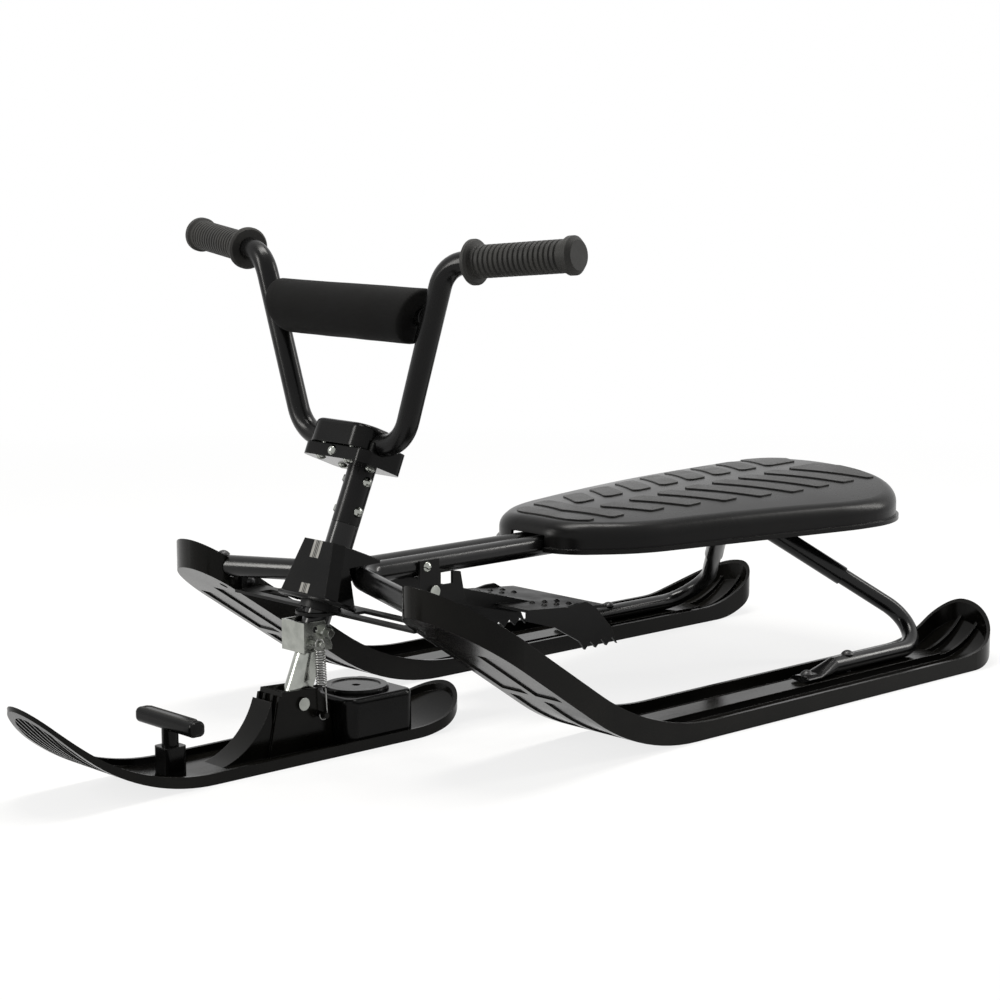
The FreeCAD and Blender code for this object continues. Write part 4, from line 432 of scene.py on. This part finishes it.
def makeCrossbarPad():
    low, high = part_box("crossbar_pad")
    middle = (low + high) / 2
    radius = (high.x - low.x) / 2 - padSet["swell"]
    half = padSet["halfLength"]
    mesh = bmesh.new()
    # one slit wall, turned round the bar into a C and drawn out along it
    slit, bore, layers = padSet["slitHalf"], padSet["bore"], padSet["layers"]
    wall = [mesh.verts.new((slit, -half, -bore - (radius - bore) * step / layers))
            for step in range(layers + 1)]
    edges = [mesh.edges.new(pair) for pair in zip(wall, wall[1:])]
    turn = 2 * math.pi - 2 * math.atan(slit / radius)
    bmesh.ops.spin(mesh, geom=wall + edges, cent=(0, 0, 0), axis=(0, -1, 0), dvec=(0, 0, 0),
                   angle=turn, steps=padSet["around"], use_merge=False, use_duplicate=False)
    sleeve = bmesh.ops.extrude_face_region(mesh, geom=mesh.faces[:])
    moved = [v for v in sleeve["geom"] if isinstance(v, bmesh.types.BMVert)]
    bmesh.ops.translate(mesh, verts=moved, vec=(0, 2 * half, 0))
    bmesh.ops.recalc_face_normals(mesh, faces=mesh.faces[:])
    rims = [e for e in mesh.edges
            if abs(e.verts[0].co.y - e.verts[1].co.y) < padSet["sameSpot"]
            and all(math.hypot(v.co.x, v.co.z) > radius * padSet["outer"] for v in e.verts)]
    bmesh.ops.bevel(mesh, geom=rims, offset=padSet["endRound"], offset_type="OFFSET",
                    segments=padSet["endSegments"], profile=0.5, affect="EDGES", material=-1,
                    clamp_overlap=True)
    lengthwise = [e for e in mesh.edges if abs(e.verts[0].co.y - e.verts[1].co.y) > half]
    bmesh.ops.subdivide_edges(mesh, edges=lengthwise, cuts=padSet["rings"], use_grid_fill=True)
    for vert in mesh.verts:
        out = Vector((vert.co.x, 0, vert.co.z))
        share = out.length / radius
        uneven = noise.noise(vert.co * Vector(padSet["swellScale"]))
        vert.co += out.normalized() * padSet["swell"] * uneven * share
        vert.co.y *= 1 + vert.co.z * padSet["endLean"] / half
    bmesh.ops.translate(mesh, verts=mesh.verts[:], vec=middle)
    piece = finishMesh("crossbarPadFoam", mesh, finishes["foam"])
    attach(piece, "steering")
    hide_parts("crossbar_pad")


makeCrossbarPad()
print("crossbar pad shaped")


# round beads that the lip, the rim and the welds share
beadSet = {"round": 5}


def makeBead(name, spots, radius, closed, body, slot):
    data = bpy.data.curves.new(name, "CURVE")
    data.dimensions = "3D"
    data.bevel_depth = radius
    data.bevel_resolution = beadSet["round"]
    data.use_fill_caps = True
    run = data.splines.new("POLY")
    run.points.add(len(spots) - 1)
    for point, spot in zip(run.points, spots):
        point.co = (*spot, 1.0)
    run.use_cyclic_u = closed
    piece = bpy.data.objects.new(name, data)
    bpy.context.collection.objects.link(piece)
    wearFinish(piece, finishes[slot])
    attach(piece, body)


# lip round the head cover's foot, square to the steering axis
lipSet = {
    "foot": 0.295, "tilt": 22.7,   # where the axis meets the ground, and its lean
    "along": 0.1558, "radius": 0.0023,
    # ahead of the axis, to the side
    "corners": ((-0.006, -0.044), (0.017, -0.044), (0.026, -0.035),
                (0.026, 0.035), (0.017, 0.044), (-0.006, 0.044)),
}


def makeCoverLip():
    tilt = math.radians(lipSet["tilt"])
    lean, rise = math.sin(tilt), math.cos(tilt)
    middle = Vector((lipSet["foot"] - lipSet["along"] * lean, 0, lipSet["along"] * rise))
    spots = [middle + Vector((ahead * rise, side, ahead * lean)) for ahead, side in lipSet["corners"]]
    makeBead("coverLip", spots, lipSet["radius"], False, "frame", "cover_plastic")


# rim on the tow handle's top
rimSet = {"halfWide": 0.0043, "halfLong": 0.039, "radius": 0.0011, "sunk": 0.0004, "steps": 10}


def makeHandleRim():
    low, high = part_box("tow_handle")
    middle = (low + high) / 2
    wide, steps = rimSet["halfWide"], rimSet["steps"]
    straight = rimSet["halfLong"] - wide
    spots = []
    for end, start in ((1, 0), (-1, math.pi)):
        for step in range(steps + 1):
            turn = start + math.pi * step / steps
            spots.append(Vector((middle.x + wide * math.cos(turn),
                                 middle.y + end * straight + wide * math.sin(turn),
                                 high.z - rimSet["sunk"])))
    makeBead("towHandleRim", spots, rimSet["radius"], True, "handle", "grip_rubber")


# welds where the crossbar meets the handlebar
weldSet = {"inset": 0.0028, "radius": 0.0013, "ring": 0.0081, "steps": 40, "uneven": 0.0003, "scale": 420}


def makeCrossbarWelds():
    low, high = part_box("crossbar")
    middle = (low + high) / 2
    inset, steps = weldSet["inset"], weldSet["steps"]
    for name, side in (("leftWeld", high.y - inset), ("rightWeld", low.y + inset)):
        spots = []
        for step in range(steps):
            turn = 2 * math.pi * step / steps
            spot = Vector((math.cos(turn), 0, math.sin(turn)))
            ring = weldSet["ring"] + weldSet["uneven"] * noise.noise(spot * weldSet["scale"])
            spots.append(Vector((middle.x, side, middle.z)) + spot * ring)
        makeBead(name, spots, weldSet["radius"], True, "steering", "bar_paint")


makeCoverLip()
makeHandleRim()
makeCrossbarWelds()
print("beads laid")


# background, white where it is seen and dimmer as fill light
worldSet = {"fill": 0.4, "seen": 1.0}


def seenRays(tree):
    # the rays by which the eye, metal and glass see the background
    path = addNode(tree, "LightPath").outputs
    seen = mathNode(tree, "MAXIMUM", path["Is Camera Ray"], path["Is Glossy Ray"])
    return mathNode(tree, "MAXIMUM", seen, path["Is Transmission Ray"])


def makeWorld():
    world = bpy.data.worlds.new("studio")
    world.use_nodes = True
    bpy.context.scene.world = world
    tree = world.node_tree
    strength = spread(tree, seenRays(tree), worldSet["fill"], worldSet["seen"])
    plug(tree, (1, 1, 1, 1), tree.nodes["Background"].inputs["Color"])
    plug(tree, strength, tree.nodes["Background"].inputs["Strength"])


# pale floor that keeps the shadow and whitens away from the sled
floorSet = {
    "size": 60.0, "tint": (0.82, 0.815, 0.8), "rough": 0.9, "specular": 0.1,
    "near": 0.8, "far": 2.4, "nearWhite": 0.8, "farWhite": 1.0,
}


def makeFloor():
    mesh = bmesh.new()
    bmesh.ops.create_grid(mesh, x_segments=1, y_segments=1, size=floorSet["size"] / 2)
    material = bpy.data.materials.new("paleFloor")
    material.use_nodes = True
    tree = material.node_tree
    shader = tree.nodes["Principled BSDF"]
    shader.inputs["Base Color"].default_value = opaque(floorSet["tint"])
    shader.inputs["Roughness"].default_value = floorSet["rough"]
    shader.inputs["Specular IOR Level"].default_value = floorSet["specular"]
    white = addNode(tree, "Emission")
    away = vectorNode(tree, "LENGTH", addNode(tree, "TexCoord").outputs["Object"])
    whiter = spread(tree, away, floorSet["nearWhite"], floorSet["farWhite"],
                    floorSet["near"], floorSet["far"])
    share = mathNode(tree, "MULTIPLY", seenRays(tree), whiter)
    mix = addNode(tree, "MixShader")
    for source, socket in zip((share, shader.outputs[0], white.outputs[0]), mix.inputs):
        tree.links.new(source, socket)
    tree.links.new(mix.outputs[0], tree.nodes["Material Output"].inputs["Surface"])
    floor = finishMesh("floor", mesh, material, smooth=False)


# area lamps
lampSet = {
    "tint": (1.0, 0.985, 0.95),
    "lamps": (
        # name, place, aim, width, height, power
        ("overhead", (-0.15, -0.25, 2.5), (-0.15, 0.0, 0.1), 1.9, 0.55, 62),
        ("leftBox", (2.3, -1.15, 1.25), (0.1, 0.0, 0.25), 0.42, 1.5, 42),
        ("rearStrip", (-2.2, 1.1, 1.5), (-0.2, 0.0, 0.2), 0.36, 1.5, 28),
    ),
}


def makeLamps():
    for name, place, aim, width, height, power in lampSet["lamps"]:
        data = bpy.data.lights.new(name, "AREA")
        data.shape = "RECTANGLE"
        data.size = width
        data.size_y = height
        data.energy = power
        data.color = lampSet["tint"]
        lamp = bpy.data.objects.new(name, data)
        bpy.context.collection.objects.link(lamp)
        lamp.location = place
        lamp.rotation_euler = (Vector(place) - Vector(aim)).to_track_quat("Z", "Y").to_euler()


makeCamera()
makeWorld()
makeFloor()
makeLamps()
bpy.context.scene.view_settings.view_transform = "Standard"
print("studio lit")
